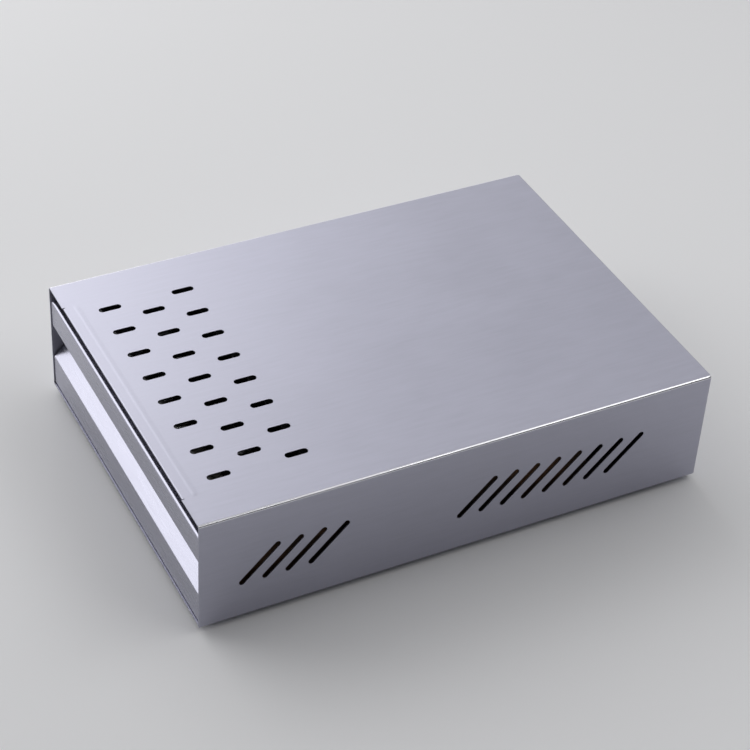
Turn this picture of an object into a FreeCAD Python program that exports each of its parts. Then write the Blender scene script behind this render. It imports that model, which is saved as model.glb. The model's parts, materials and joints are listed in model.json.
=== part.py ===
"""Low drawer-type electric smoker, as a parametric assembly of separate pieces.

Frame: the origin lies under the middle of the body, on the surface that the feet stand on.
+Z is up and +X runs from the drawer front to the rear end with the controls. "near" is the
-Y side and "far" the +Y side. All sizes are in millimetres.
"""
import FreeCAD, Part
import math
import os
import re
import Sketcher
from FreeCAD import Placement, Rotation, Vector

DIMENSIONS = {
    # body
    "body_length": 559, "body_width": 397, "body_height": 129, "foot_height": 8,
    "shell_sheet": 1.2, "thin_sheet": 1.0, "bend_radius": 2.5, "corner_radius": 3.5,
    # smoke outlet in the top
    "outlet_length": 24, "outlet_width": 7.5, "outlet_pitch": 40, "outlet_first": 44.8,
    "outlet_rows": 8,
    # diagonal vents in the long sides
    "vent_width": 6.5, "vent_rise": 36, "vent_pitch": 24, "vent_low": 42.5,
    "front_vent_first": 44, "rear_vent_first": 276.8,
    # hem of the top's front edge
    "hem_inset": 0.8, "hem_width": 12, "hem_margin": 40, "relief_width": 1, "relief_depth": 3,
    # base pan and brackets
    "lip_height": 3.4, "bracket_leg": 16, "bracket_height": 12,
    # drawer front
    "front_inset": 1, "front_clearance": 1.3, "front_bottom": 4.4, "front_top": 112,
    "pull_low": 39.5, "pull_high": 81, "pull_depth": 24, "pull_hem": 9, "front_flange": 16,
    "front_bend": 1.5,
    # chamber liner
    "liner_front": 30, "liner_length": 400, "liner_half_width": 174, "liner_low": 20,
    "liner_high": 115, "seal_gap": 0.3, "port_width": 28, "port_length": 300,
    # drawer tray
    "tray_half_width": 160, "tray_low": 36, "tray_high": 90, "tray_length": 364,
    "chip_bay_front": 22, "chip_bay_rear": 98, "chip_bay_half_width": 115,
    # telescopic runners
    "runner_length": 350, "runner_low": 50, "runner_high": 85, "runner_sheet": 1.2,
    "ball_radius": 1.5, "ball_gap": 3.1, "cage_length": 120, "cage_sheet": 0.6, "ball_pitch": 24,
    # loose pieces in the drawer
    "rack_front": -247, "rack_rear": 8, "rack_half_width": 155, "rack_level": 66, "rack_corner": 12,
    "frame_wire": 2, "rack_wire": 1.25, "rack_pitch": 15,
    "rail_width": 13, "rail_foot": 9,
    "drip_low": 37.2, "drip_high": 55, "drip_half_width": 144,
    "chip_low": 33.5, "chip_high": 58, "chip_half_width": 112, "chip_rim": 6,
    # heating
    "element_radius": 3.25, "element_level": 27.5, "element_leg": 40, "element_front": 25,
    # rear controls
    "panel_half_width": 130, "panel_low": 32, "panel_high": 116, "panel_depth": 25,
    "panel_flange": 12, "panel_corner": 3, "control_level": 74,
    "knob_side": 82, "lamp_side": 38, "switch_side": -4, "inlet_side": -76,
    "knob_radius": 20, "spindle_radius": 3,
    # feet
    "foot_side": 160, "foot_end": 235, "foot_radius": 13,
}

doc = FreeCAD.newDocument("drawer_smoker")
dims = doc.addObject("Spreadsheet::Sheet", "Dims")
for row, (alias, number) in enumerate(DIMENSIONS.items(), start=1):
    dims.set(f"A{row}", alias)
    dims.set(f"B{row}", str(number))
    dims.setAlias(f"B{row}", alias)
doc.recompute()

# Planes of the body, as expressions in the sheet's names.
FRONT = "(-body_length/2)"
REAR = "(body_length/2)"
NEAR = "(-body_width/2)"
FAR = "(body_width/2)"
BASE = "foot_height"
TOP = "(foot_height + body_height)"

nodes = []


def bound(text):
    """The expression with each dimension's name turned into its cell of the sheet."""
    return re.sub(r"[a-z]\w*", lambda word: "Dims." + word[0] if word[0] in DIMENSIONS else word[0],
                  str(text))


def value(text):
    """The number that an expression has now."""
    return float(dims.evalExpression(bound(text)))


def node(label, piece):
    """Name a finished sub-part and keep it for export."""
    piece.Label = label
    nodes.append(piece)
    return piece


# ---------------------------------------------------------------- sketches and body features

def new_body(name):
    return doc.addObject("PartDesign::Body", name + "_body")


def sketch(body, name, role, offset="0"):
    """An empty sketch on one of the body's own planes, moved along the frame's axis."""
    plane = next(item for item in body.Origin.OriginFeatures if item.Role == role)
    result = body.newObject("Sketcher::SketchObject", name)
    result.AttachmentSupport = (plane, [""])
    result.MapMode = "FlatFace"
    sign = "-" if role == "XZ_Plane" else ""
    result.setExpression("AttachmentOffset.Base.z", bound(f"{sign}({offset})"))
    return result


def pin(drawing, geometry, point, across, up):
    """Hold one point of the sketch at two bound coordinates."""
    for kind, text in (("DistanceX", across), ("DistanceY", up)):
        rule = Sketcher.Constraint(kind, -1, 1, geometry, point, value(text))
        drawing.setExpression(f"Constraints[{drawing.addConstraint(rule)}]", bound(text))


def outline(drawing, points):
    """A closed outline of straight lines through bound points."""
    corners = [Vector(value(across), value(up), 0) for across, up in points]
    count = len(corners)
    lines = [drawing.addGeometry(Part.LineSegment(corners[i], corners[(i + 1) % count]), False)
             for i in range(count)]
    for i in range(count):
        drawing.addConstraint(Sketcher.Constraint("Coincident", lines[i], 2, lines[(i + 1) % count], 1))
    for line, (across, up) in zip(lines, points):
        pin(drawing, line, 1, across, up)


def rectangle(low_across, high_across, low_up, high_up):
    return [(low_across, low_up), (high_across, low_up), (high_across, high_up), (low_across, high_up)]


def circle(drawing, across, up, radius):
    centre = Vector(value(across), value(up), 0)
    ring = drawing.addGeometry(Part.Circle(centre, Vector(0, 0, 1), value(radius)), False)
    pin(drawing, ring, 3, across, up)
    index = drawing.addConstraint(Sketcher.Constraint("Radius", ring, value(radius)))
    drawing.setExpression(f"Constraints[{index}]", bound(radius))


def obround(drawing, start, end, radius):
    """A slot with round ends about two bound centres."""
    first, second = (Vector(value(across), value(up), 0) for across, up in (start, end))
    turn = math.atan2(second.y - first.y, second.x - first.x)
    quarter = math.pi / 2
    size = value(radius)

    def end_arc(centre, low, high):
        return drawing.addGeometry(Part.ArcOfCircle(Part.Circle(centre, Vector(0, 0, 1), size),
                                                    low, high), False)

    def side(low, high, angle):
        shift = Vector(math.cos(angle), math.sin(angle), 0) * size
        return drawing.addGeometry(Part.LineSegment(low + shift, high + shift), False)

    end_cap = end_arc(second, turn - quarter, turn + quarter)
    upper = side(second, first, turn + quarter)
    start_cap = end_arc(first, turn + quarter, turn + 3 * quarter)
    lower = side(first, second, turn - quarter)
    loop = [end_cap, upper, start_cap, lower]
    for i in range(4):
        drawing.addConstraint(Sketcher.Constraint("Tangent", loop[i], 2, loop[(i + 1) % 4], 1))
    pin(drawing, start_cap, 3, *start)
    pin(drawing, end_cap, 3, *end)
    index = drawing.addConstraint(Sketcher.Constraint("Radius", end_cap, size))
    drawing.setExpression(f"Constraints[{index}]", bound(radius))
    drawing.addConstraint(Sketcher.Constraint("Equal", end_cap, start_cap))


def grow(body, kind, name, drawing, length, both_ways=False, reverse=False):
    """A pad or a pocket of one sketch; a pocket must take volume away."""
    doc.recompute()
    before = body.Shape.Volume if body.Shape and not body.Shape.isNull() else 0.0
    feature = body.newObject("PartDesign::" + kind, name)
    feature.Profile = drawing
    feature.setExpression("Length", bound(length))
    feature.Midplane = both_ways
    feature.Reversed = reverse
    doc.recompute()
    changed = feature.Shape.Volume - before
    if (kind == "Pocket") != (changed < 0):
        raise RuntimeError(f"{name} changes the volume by {changed:.1f}")
    return feature


def pad(body, name, drawing, length, **options):
    return grow(body, "Pad", name, drawing, length, **options)


def pocket(body, name, drawing, length, **options):
    return grow(body, "Pocket", name, drawing, length, **options)


def repeat(body, name, feature, axis_role, pitch, count):
    """Repeat one feature along an axis of the body's origin."""
    axis = next(item for item in body.Origin.OriginFeatures if item.Role == axis_role)
    pattern = body.newObject("PartDesign::LinearPattern", name)
    pattern.Originals = [feature]
    pattern.Direction = (axis, [""])
    pattern.Mode = "Spacing"
    pattern.setExpression("Offset", bound(pitch))
    pattern.setExpression("Occurrences", bound(count))
    body.Tip = pattern
    doc.recompute()
    return pattern


def at(value_low, value_high, wanted):
    return abs(value_low - wanted) < 1e-3 and abs(value_high - wanted) < 1e-3


def lies(element, **planes):
    """True where an edge or face lies wholly in each named plane, such as x=10."""
    box = element.BoundBox
    spans = {"x": (box.XMin, box.XMax), "y": (box.YMin, box.YMax), "z": (box.ZMin, box.ZMax)}
    return all(at(*spans[axis], wanted) for axis, wanted in planes.items())


def dress(body, kind, name, feature, test, size):
    """A fillet or chamfer on the edges that pass a test."""
    chosen = [f"Edge{i + 1}" for i, edge in enumerate(feature.Shape.Edges) if test(edge)]
    result = body.newObject("PartDesign::" + kind, name)
    result.Base = (feature, chosen)
    result.setExpression("Radius" if kind == "Fillet" else "Size", bound(size))
    doc.recompute()
    return result


def hollow(body, name, feature, test, sheet):
    """Keep a skin of one sheet's thickness, open at the faces that pass a test."""
    chosen = [f"Face{i + 1}" for i, face in enumerate(feature.Shape.Faces) if test(face)]
    result = body.newObject("PartDesign::Thickness", name)
    result.Base = (feature, chosen)
    result.setExpression("Value", bound(sheet))
    result.Reversed = True
    doc.recompute()
    return result


def section(name, role, points, length, middle="0"):
    """A body that is one straight-sided section, extruded both ways from a middle plane."""
    body = new_body(name)
    drawing = sketch(body, name + "_section", role, middle)
    outline(drawing, points)
    return body, pad(body, name + "_pad", drawing, length, both_ways=True)


# ---------------------------------------------------------------- primitives and booleans

def block(name, low, high):
    """A box between two bound corners."""
    box = doc.addObject("Part::Box", name)
    for size, axis, start, end in zip(("Length", "Width", "Height"), "xyz", low, high):
        box.setExpression(size, bound(f"({end}) - ({start})"))
        box.setExpression("Placement.Base." + axis, bound(start))
    return box


AXES = {"x": Vector(1, 0, 0), "y": Vector(0, 1, 0), "z": Vector(0, 0, 1)}


def place(piece, axis, start):
    """Turn a round primitive onto an axis and bind its start point."""
    piece.Placement = Placement(Vector(), Rotation(Vector(0, 0, 1), AXES[axis]))
    for letter, text in zip("xyz", start):
        piece.setExpression("Placement.Base." + letter, bound(text))
    return piece


def rod(name, axis, start, radius, length):
    piece = doc.addObject("Part::Cylinder", name)
    piece.setExpression("Radius", bound(radius))
    piece.setExpression("Height", bound(length))
    return place(piece, axis, start)


def cone(name, axis, start, radius, end_radius, length):
    piece = doc.addObject("Part::Cone", name)
    piece.setExpression("Radius1", bound(radius))
    piece.setExpression("Radius2", bound(end_radius))
    piece.setExpression("Height", bound(length))
    return place(piece, axis, start)


def ball(name, centre, radius):
    piece = doc.addObject("Part::Sphere", name)
    piece.setExpression("Radius", bound(radius))
    return place(piece, "z", centre)


def join(name, pieces):
    result = doc.addObject("Part::MultiFuse", name)
    result.Shapes = pieces
    return result


def group(name, pieces):
    """Separate solids that share one node."""
    result = doc.addObject("Part::Compound", name)
    result.Links = pieces
    return result


def cut(name, base, tools):
    """The base less every tool."""
    result = doc.addObject("Part::Cut", name)
    result.Base = base
    result.Tool = tools[0] if len(tools) == 1 else group(name + "_tools", tools)
    return result


def washer(name, axis, start, outer, inner, length):
    return cut(name, rod(name + "_outer", axis, start, outer, length),
               [rod(name + "_inner", axis, start, inner, length)])


def pan_screws(label, axis, places, radius, length, head_radius, head_height):
    """Screws whose heads start at the given places; a negative length points back along the axis."""
    screws = []
    step = {"x": 0, "y": 1, "z": 2}[axis]
    for i, place_at in enumerate(places):
        shank_start = list(place_at)
        head_start = list(place_at)
        if length < 0:
            shank_start[step] = f"({shank_start[step]}) + {length}"
        else:
            head_start[step] = f"({head_start[step]}) - {head_height}"
        shank = rod(f"{label}_{i}_shank", axis, shank_start, radius, abs(length))
        head = rod(f"{label}_{i}_head", axis, head_start, head_radius, head_height)
        screws.append(join(f"{label}_{i}", [shank, head]))
    return node(label, group(label + "_group", screws))


def swept(name, points, bend, radius):
    """A round tube along straight runs joined by tangent arcs of one radius."""
    edges = []
    start = points[0]
    for before, corner, after in zip(points, points[1:], points[2:]):
        incoming = (corner - before).normalize()
        outgoing = (after - corner).normalize()
        half_turn = incoming.getAngle(outgoing) / 2
        reach = bend * math.tan(half_turn)
        arc_start = corner - incoming * reach
        arc_end = corner + outgoing * reach
        inward = (outgoing - incoming).normalize()
        middle = corner + inward * (bend / math.cos(half_turn) - bend)
        edges.append(Part.LineSegment(start, arc_start).toShape())
        edges.append(Part.Arc(arc_start, middle, arc_end).toShape())
        start = arc_end
    edges.append(Part.LineSegment(start, points[-1]).toShape())
    path = Part.Wire(edges)
    direction = (points[1] - points[0]).normalize()
    profile = Part.Wire([Part.Circle(points[0], direction, radius).toShape()])
    solid = path.makePipeShell([profile], True, True)
    expected = math.pi * radius ** 2 * path.Length
    if abs(solid.Volume - expected) > 0.02 * expected:
        raise RuntimeError(f"{name}: volume {solid.Volume:.1f}, expected {expected:.1f}")
    piece = doc.addObject("Part::Feature", name)
    piece.Shape = solid
    return piece


# ---------------------------------------------------------------- body of the appliance

PANEL_SCREWS = [("panel_half_width + 6", "panel_low - 6"), ("-(panel_half_width + 6)", "panel_low - 6"),
                ("panel_half_width + 6", "panel_high + 6"), ("-(panel_half_width + 6)", "panel_high + 6"),
                ("0", "panel_low - 6"), ("0", "panel_high + 6")]


def make_outer_shell():
    """Top, long sides and rear end: folded sheet, welded and ground at its corners."""
    body = new_body("outer_shell")
    plan = sketch(body, "shell_plan", "XY_Plane", BASE)
    outline(plan, rectangle(FRONT, REAR, NEAR, FAR))
    blank = pad(body, "shell_blank", plan, "body_height")
    rear, top, front = value(REAR), value(TOP), value(FRONT)
    corners = dress(body, "Fillet", "shell_corners", blank,
                    lambda edge: lies(edge, x=rear) and edge.BoundBox.ZLength > 100, "corner_radius")
    bends = dress(body, "Fillet", "shell_bends", corners,
                  lambda edge: lies(edge, z=top) and not lies(edge, x=front), "bend_radius")
    hollow(body, "shell_skin", bends,
           lambda face: lies(face, z=value(BASE)) or lies(face, x=front), "shell_sheet")

    # Smoke outlet: two full columns with a staggered one between them.
    half = "(outlet_length - outlet_width)/2"
    row_start = f"({NEAR} + (body_width - (outlet_rows - 1)*outlet_pitch)/2)"
    for name, columns, shift, count in (("outer", (0, 2), "0", "outlet_rows"),
                                        ("middle", (1,), "outlet_pitch/2", "outlet_rows - 1")):
        drawing = sketch(body, name + "_outlets", "XY_Plane", TOP)
        for column in columns:
            centre = f"({FRONT} + outlet_first + {column}*outlet_pitch)"
            level = f"{row_start} + {shift}"
            obround(drawing, (f"{centre} - {half}", level), (f"{centre} + {half}", level),
                    "outlet_width/2")
        first = pocket(body, name + "_outlet_row", drawing, "5*shell_sheet")
        repeat(body, name + "_outlet_rows", first, "Y_Axis", "outlet_pitch", count)

    # Diagonal vents, the same in both long sides.
    low = f"({BASE} + vent_low)"
    for name, start, count in (("front", "front_vent_first", 4), ("rear", "rear_vent_first", 8)):
        drawing = sketch(body, name + "_vents", "XZ_Plane")
        across = f"({FRONT} + {start})"
        obround(drawing, (across, low), (f"{across} + vent_rise", f"{low} + vent_rise"),
                "vent_width/2")
        first = pocket(body, name + "_vent", drawing, "body_width + 10", both_ways=True)
        repeat(body, name + "_vent_row", first, "X_Axis", "vent_pitch", count)

    # Opening for the recessed control panel, with countersunk screw holes round it.
    drawing = sketch(body, "control_opening", "YZ_Plane", REAR)
    outline(drawing, rectangle("-panel_half_width", "panel_half_width", "panel_low", "panel_high"))
    for side, level in PANEL_SCREWS:
        circle(drawing, side, level, "2.1")
    opening = pocket(body, "control_pocket", drawing, "5*shell_sheet")
    sunk = dress(body, "Chamfer", "panel_countersinks", opening,
                 lambda edge: lies(edge, x=rear) and edge.Curve.TypeId == "Part::GeomCircle"
                 and abs(edge.Curve.Radius - 2.1) < 1e-3, "shell_sheet - 0.1")
    dress(body, "Fillet", "opening_corners", sunk,
          lambda edge: edge.BoundBox.XMin > rear - 2 * value("shell_sheet")
          and abs(edge.BoundBox.XLength - value("shell_sheet")) < 1e-3
          and edge.Curve.TypeId == "Part::GeomLine"
          and at(abs(edge.BoundBox.YMin), abs(edge.BoundBox.YMax), value("panel_half_width")),
          "panel_corner")

    # Front edge of the top: set back between two corner reliefs and hemmed under.
    drawing = sketch(body, "hem_cutback", "XY_Plane", TOP)
    inner_near = f"({NEAR} + hem_margin)"
    inner_far = f"({FAR} - hem_margin)"
    outline(drawing, [(f"{FRONT} - 1", inner_near), (f"{FRONT} + relief_depth", inner_near),
                      (f"{FRONT} + relief_depth", f"{inner_near} + relief_width"),
                      (f"{FRONT} + hem_inset", f"{inner_near} + relief_width"),
                      (f"{FRONT} + hem_inset", f"{inner_far} - relief_width"),
                      (f"{FRONT} + relief_depth", f"{inner_far} - relief_width"),
                      (f"{FRONT} + relief_depth", inner_far), (f"{FRONT} - 1", inner_far)])
    pocket(body, "hem_cut", drawing, "5*shell_sheet")
    drawing = sketch(body, "hem_section", "XZ_Plane")
    outline(drawing, rectangle(f"{FRONT} + hem_inset", f"{FRONT} + hem_width",
                               f"{TOP} - 2*shell_sheet", f"{TOP} - shell_sheet"))
    hem = pad(body, "hem_fold", drawing, "body_width - 2*hem_margin - 2*relief_width", both_ways=True)
    hem_front = value(f"{FRONT} + hem_inset")
    dress(body, "Fillet", "hem_round", hem,
          lambda edge: lies(edge, x=hem_front) and edge.BoundBox.YLength > 100, "shell_sheet - 0.1")
    return node("outer_shell", body)


BASE_SCREWS = [(across, side) for side in (f"{NEAR} + 10", f"{FAR} - 10")
               for across in ("-150", "0", "150")]
FEET = [(end, side) for end in ("-foot_end", "foot_end") for side in ("-foot_side", "foot_side")]
SUPPORTS = ("-170", "100")
SUPPORT_SCREWS = [(across, side) for across in SUPPORTS for side in ("-120", "120")]
BRACKET_SHEET = "1.5"


def make_base_pan():
    """Flat pan between the shell's sides, its front edge folded up as a lip."""
    body = new_body("base_pan")
    plan = sketch(body, "pan_plan", "XY_Plane", BASE)
    outline(plan, rectangle(FRONT, f"{REAR} - shell_sheet - 0.3",
                            f"{NEAR} + shell_sheet + 0.2", f"{FAR} - shell_sheet - 0.2"))
    floor = pad(body, "pan_floor", plan, "shell_sheet")
    rear = value(f"{REAR} - shell_sheet - 0.3")
    dress(body, "Fillet", "pan_corners", floor,
          lambda edge: lies(edge, x=rear) and edge.BoundBox.ZLength > 1 and edge.BoundBox.YLength < 1,
          "corner_radius")
    drawing = sketch(body, "lip_section", "XZ_Plane")
    outline(drawing, rectangle(FRONT, f"{FRONT} + shell_sheet", BASE, f"{BASE} + lip_height"))
    lip = pad(body, "pan_lip", drawing, "body_width - 2*shell_sheet - 0.4", both_ways=True)
    front = value(FRONT)
    dress(body, "Fillet", "lip_bend", lip,
          lambda edge: lies(edge, x=front, z=value(BASE)), "shell_sheet*0.8")
    drawing = sketch(body, "pan_holes", "XY_Plane", f"{BASE} + shell_sheet")
    for across, side in BASE_SCREWS + FEET + SUPPORT_SCREWS:
        circle(drawing, across, side, "2.1")
    for column in range(6):
        for side in ("-40", "0", "40"):
            circle(drawing, f"175 + {column}*12", side, "2")
    pocket(body, "pan_drilling", drawing, "3*shell_sheet")
    return node("base_pan", body)


def make_shell_brackets():
    """Angles spot-welded inside the long sides; the base screws bite into them."""
    angles = []
    low = f"({BASE} + shell_sheet)"
    for name, wall, inward, screws in (("near", f"({NEAR} + shell_sheet)", "1", BASE_SCREWS[:3]),
                                       ("far", f"({FAR} - shell_sheet)", "-1", BASE_SCREWS[3:])):
        inner = f"{wall} + ({inward})*{BRACKET_SHEET}"
        toe = f"{wall} + ({inward})*bracket_leg"
        points = [(wall, low), (toe, low), (toe, f"{low} + {BRACKET_SHEET}"),
                  (inner, f"{low} + {BRACKET_SHEET}"), (inner, f"{low} + bracket_height"),
                  (wall, f"{low} + bracket_height")]
        body, angle = section(name + "_bracket", "YZ_Plane", points, "body_length - 120")
        drawing = sketch(body, name + "_bracket_holes", "XY_Plane", f"{low} + {BRACKET_SHEET}")
        for across, side in screws:
            circle(drawing, across, side, "2")
        pocket(body, name + "_bracket_drilling", drawing, "5")
        angles.append(body)
    return node("shell_brackets", group("shell_bracket_pair", angles))


def make_liner_supports():
    """Hat sections that carry the liner above the base pan."""
    low, high = f"({BASE} + shell_sheet)", "liner_low"
    hats = []
    for index, across in enumerate(SUPPORTS):
        left, right = f"({across} - 10)", f"({across} + 10)"
        points = [(f"{left} - 12", high), (f"{left} - 12", f"{high} - 1"), (f"{left} - 1", f"{high} - 1"),
                  (f"{left} - 1", low), (f"{right} + 1", low), (f"{right} + 1", f"{high} - 1"),
                  (f"{right} + 12", f"{high} - 1"), (f"{right} + 12", high), (right, high),
                  (right, f"{low} + 1"), (left, f"{low} + 1"), (left, high)]
        body, hat = section(f"support_{index}", "XZ_Plane", points, "280")
        drawing = sketch(body, f"support_{index}_holes", "XY_Plane", f"{low} + 1")
        for side in ("-120", "120"):
            circle(drawing, across, side, "2")
        pocket(body, f"support_{index}_drilling", drawing, "3")
        hats.append(body)
    return node("liner_supports", group("support_pair", hats))


def make_feet_and_screws():
    """Rubber feet with a sunk screw each, and the screws that close the base."""
    for (across, side), corner in zip(FEET, ("front_near", "front_far", "rear_near", "rear_far")):
        pad_body = cone(corner + "_cone", "z", (across, side, "0"), "foot_radius - 2", "foot_radius",
                        "foot_height")
        bore = rod(corner + "_bore", "z", (across, side, "0"), "2.1", "foot_height")
        sink = rod(corner + "_sink", "z", (across, side, "0"), "5", "3")
        node(corner + "_foot", cut(corner + "_foot_cut", pad_body, [bore, sink]))
    pan_screws("foot_screws", "z", [(across, side, "3") for across, side in FEET], 2, 10, 4, 2)
    pan_screws("base_screws", "z", [(across, side, BASE) for across, side in BASE_SCREWS + SUPPORT_SCREWS],
               2, 6, 3.5, 2)


# ---------------------------------------------------------------- drawer

DRAWER_FACE = f"({FRONT} + front_inset)"
DRAWER_BACK = f"({DRAWER_FACE} + pull_depth + shell_sheet)"
PANEL_BACK = f"({DRAWER_BACK} + thin_sheet)"
DRAWER_LOW = f"({BASE} + front_bottom)"
DRAWER_HIGH = f"({BASE} + front_top)"
DRAWER_WIDTH = "(body_width - 2*shell_sheet - 2*front_clearance)"
TRAY_REAR = f"({PANEL_BACK} + tray_length)"
DRAWER_SCREWS = ("-130", "-50", "50", "130")
SCREW_LEVEL = "82"


def make_drawer_front():
    """One folded sheet: lower band, 45 degree slope, recess back, top flange, hemmed upper band."""
    low = f"({BASE} + pull_low)"
    high = f"({BASE} + pull_high)"
    recess_back = f"({DRAWER_FACE} + pull_depth)"
    inside = f"({DRAWER_FACE} + shell_sheet)"
    hem_back = f"({DRAWER_FACE} + 2*shell_sheet)"
    mitre = "shell_sheet*0.4142"
    points = [
        (f"{DRAWER_FACE} + front_flange", DRAWER_LOW), (DRAWER_FACE, DRAWER_LOW), (DRAWER_FACE, low),
        (recess_back, f"{low} + pull_depth"), (recess_back, f"{DRAWER_HIGH} - shell_sheet"),
        (inside, f"{DRAWER_HIGH} - shell_sheet"), (inside, f"{high} + pull_hem"),
        (hem_back, f"{high} + pull_hem"), (hem_back, high), (DRAWER_FACE, high),
        (DRAWER_FACE, DRAWER_HIGH), (DRAWER_BACK, DRAWER_HIGH),
        (DRAWER_BACK, f"{low} + pull_depth - {mitre}"), (inside, f"{low} - {mitre}"),
        (inside, f"{DRAWER_LOW} + shell_sheet"),
        (f"{DRAWER_FACE} + front_flange", f"{DRAWER_LOW} + shell_sheet")]
    body, folded = section("drawer_front", "XZ_Plane", points, DRAWER_WIDTH)
    face, top = value(DRAWER_FACE), value(DRAWER_HIGH)
    rounded = dress(body, "Fillet", "front_top_bend", folded,
                    lambda edge: lies(edge, x=face, z=top), "2*front_bend")
    inner = dress(body, "Fillet", "front_top_bend_inside", rounded,
                  lambda edge: lies(edge, x=value(inside), z=value(f"{DRAWER_HIGH} - shell_sheet")),
                  "2*front_bend - shell_sheet")
    bends = dress(body, "Fillet", "front_bends", inner,
                  lambda edge: lies(edge, x=face, z=value(DRAWER_LOW)) or lies(edge, x=face, z=value(low)),
                  "front_bend")
    dress(body, "Fillet", "pull_hem_round", bends,
          lambda edge: lies(edge, x=face, z=value(high)) or lies(edge, x=value(hem_back), z=value(high)),
          "shell_sheet - 0.1")
    drawing = sketch(body, "front_holes", "YZ_Plane", DRAWER_BACK)
    for side in DRAWER_SCREWS:
        circle(drawing, side, SCREW_LEVEL, "2")
    pocket(body, "front_drilling", drawing, "2*shell_sheet")
    node("drawer_front", body)

    # Plates that close the ends of the hollow behind the lower band and the slope.
    corners = [(inside, f"{DRAWER_LOW} + shell_sheet"), (DRAWER_BACK, f"{DRAWER_LOW} + shell_sheet"),
               (DRAWER_BACK, f"{low} + pull_depth - {mitre}"), (inside, f"{low} - {mitre}")]
    plates = [section(f"{name}_end_plate", "XZ_Plane", corners, "thin_sheet",
                      f"{sign}({DRAWER_WIDTH} - thin_sheet)/2")[0]
              for name, sign in (("near", "-"), ("far", ""))]
    node("front_end_plates", group("end_plate_pair", plates))

    # Flat panel that closes the back of the front and meets the seal.
    body = new_body("inner_panel")
    drawing = sketch(body, "inner_panel_outline", "YZ_Plane", DRAWER_BACK)
    outline(drawing, rectangle(f"-{DRAWER_WIDTH}/2", f"{DRAWER_WIDTH}/2", DRAWER_LOW, DRAWER_HIGH))
    for side in DRAWER_SCREWS:
        circle(drawing, side, SCREW_LEVEL, "2.1")
    pad(body, "inner_panel_sheet", drawing, "thin_sheet")
    node("front_inner_panel", body)
    node("strike_plate", block("strike", (PANEL_BACK, "-16", "liner_high - 8"),
                               (f"{PANEL_BACK} + 1.2", "16", "liner_high - 2")))


def make_drawer_tray():
    """Folded tray with a cut-out for the chip tray, and the rails that carry the loose pieces."""
    body = new_body("drawer_tray")
    plan = sketch(body, "tray_plan", "XY_Plane", "tray_low")
    outline(plan, rectangle(PANEL_BACK, TRAY_REAR, "-tray_half_width", "tray_half_width"))
    blank = pad(body, "tray_blank", plan, "tray_high - tray_low")
    corners = dress(body, "Fillet", "tray_corners", blank,
                    lambda edge: edge.BoundBox.ZLength > 10, "bend_radius")
    floor_bends = dress(body, "Fillet", "tray_floor_bends", corners,
                        lambda edge: lies(edge, z=value("tray_low")), "bend_radius")
    hollow(body, "tray_skin", floor_bends, lambda face: lies(face, z=value("tray_high")), "thin_sheet")
    drawing = sketch(body, "chip_bay", "XY_Plane", "tray_low + 2*thin_sheet")
    outline(drawing, rectangle("chip_bay_front", "chip_bay_rear",
                               "-chip_bay_half_width", "chip_bay_half_width"))
    pocket(body, "chip_bay_pocket", drawing, "4*thin_sheet")
    drawing = sketch(body, "tray_holes", "YZ_Plane", f"{PANEL_BACK} + 2*thin_sheet")
    for side in DRAWER_SCREWS:
        circle(drawing, side, SCREW_LEVEL, "2.1")
    pocket(body, "tray_drilling", drawing, "4*thin_sheet")
    node("drawer_tray", body)

    pan_screws("drawer_screws", "x", [(f"{PANEL_BACK} + thin_sheet", side, SCREW_LEVEL)
                                      for side in DRAWER_SCREWS], 2, -3.2, 3.5, 1.5)
    rails = []
    level = "(rack_level - frame_wire)"
    for name, sign in (("near", "-"), ("far", "")):
        wall = f"{sign}(tray_half_width - thin_sheet)"
        toe = f"{sign}(tray_half_width - thin_sheet - rail_width)"
        web = f"{sign}(tray_half_width - 2*thin_sheet)"
        points = [(wall, level), (toe, level), (toe, f"{level} - thin_sheet"),
                  (web, f"{level} - thin_sheet"), (web, f"{level} - 10"), (wall, f"{level} - 10")]
        rails.append(section(name + "_rack_rail", "YZ_Plane", points, "rack_rear - rack_front",
                             "(rack_rear + rack_front)/2")[0])
    node("rack_rails", group("rack_rail_pair", rails))

    crossbars = []
    rest = "(chip_high - 0.8)"
    for name, edge, sign in (("front", "chip_bay_front", "-"), ("rear", "chip_bay_rear", "")):
        outer = f"({edge} + ({sign}rail_foot))"
        web = f"({edge} + ({sign}(rail_foot - thin_sheet)))"
        toe = f"({edge} + ({sign}1))"
        points = [(outer, rest), (toe, rest), (toe, f"{rest} - thin_sheet"), (web, f"{rest} - thin_sheet"),
                  (web, "tray_low + thin_sheet"), (outer, "tray_low + thin_sheet")]
        crossbars.append(section(name + "_chip_rail", "XZ_Plane", points,
                                 "2*(tray_half_width - 4*thin_sheet)")[0])
    node("chip_tray_rails", group("chip_rail_pair", crossbars))


def channel(name, web, toe, low, high, sheet, length, middle):
    """A C section with its web at one side and both flanges reaching to the toe."""
    inward = f"({sheet})" if value(toe) > value(web) else f"(-{sheet})"
    points = [(web, low), (toe, low), (toe, f"{low} + {sheet}"), (f"{web} + {inward}", f"{low} + {sheet}"),
              (f"{web} + {inward}", f"{high} - {sheet}"), (toe, f"{high} - {sheet}"), (toe, high),
              (web, high)]
    return section(name, "YZ_Plane", points, length, middle)[0]


RUNNER_START = f"({FRONT} + liner_front + 1.5)"
RUNNER_MIDDLE = f"({RUNNER_START} + runner_length/2)"
CAGE_MIDDLE = f"({RUNNER_START} + 100 + cage_length/2)"


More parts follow.
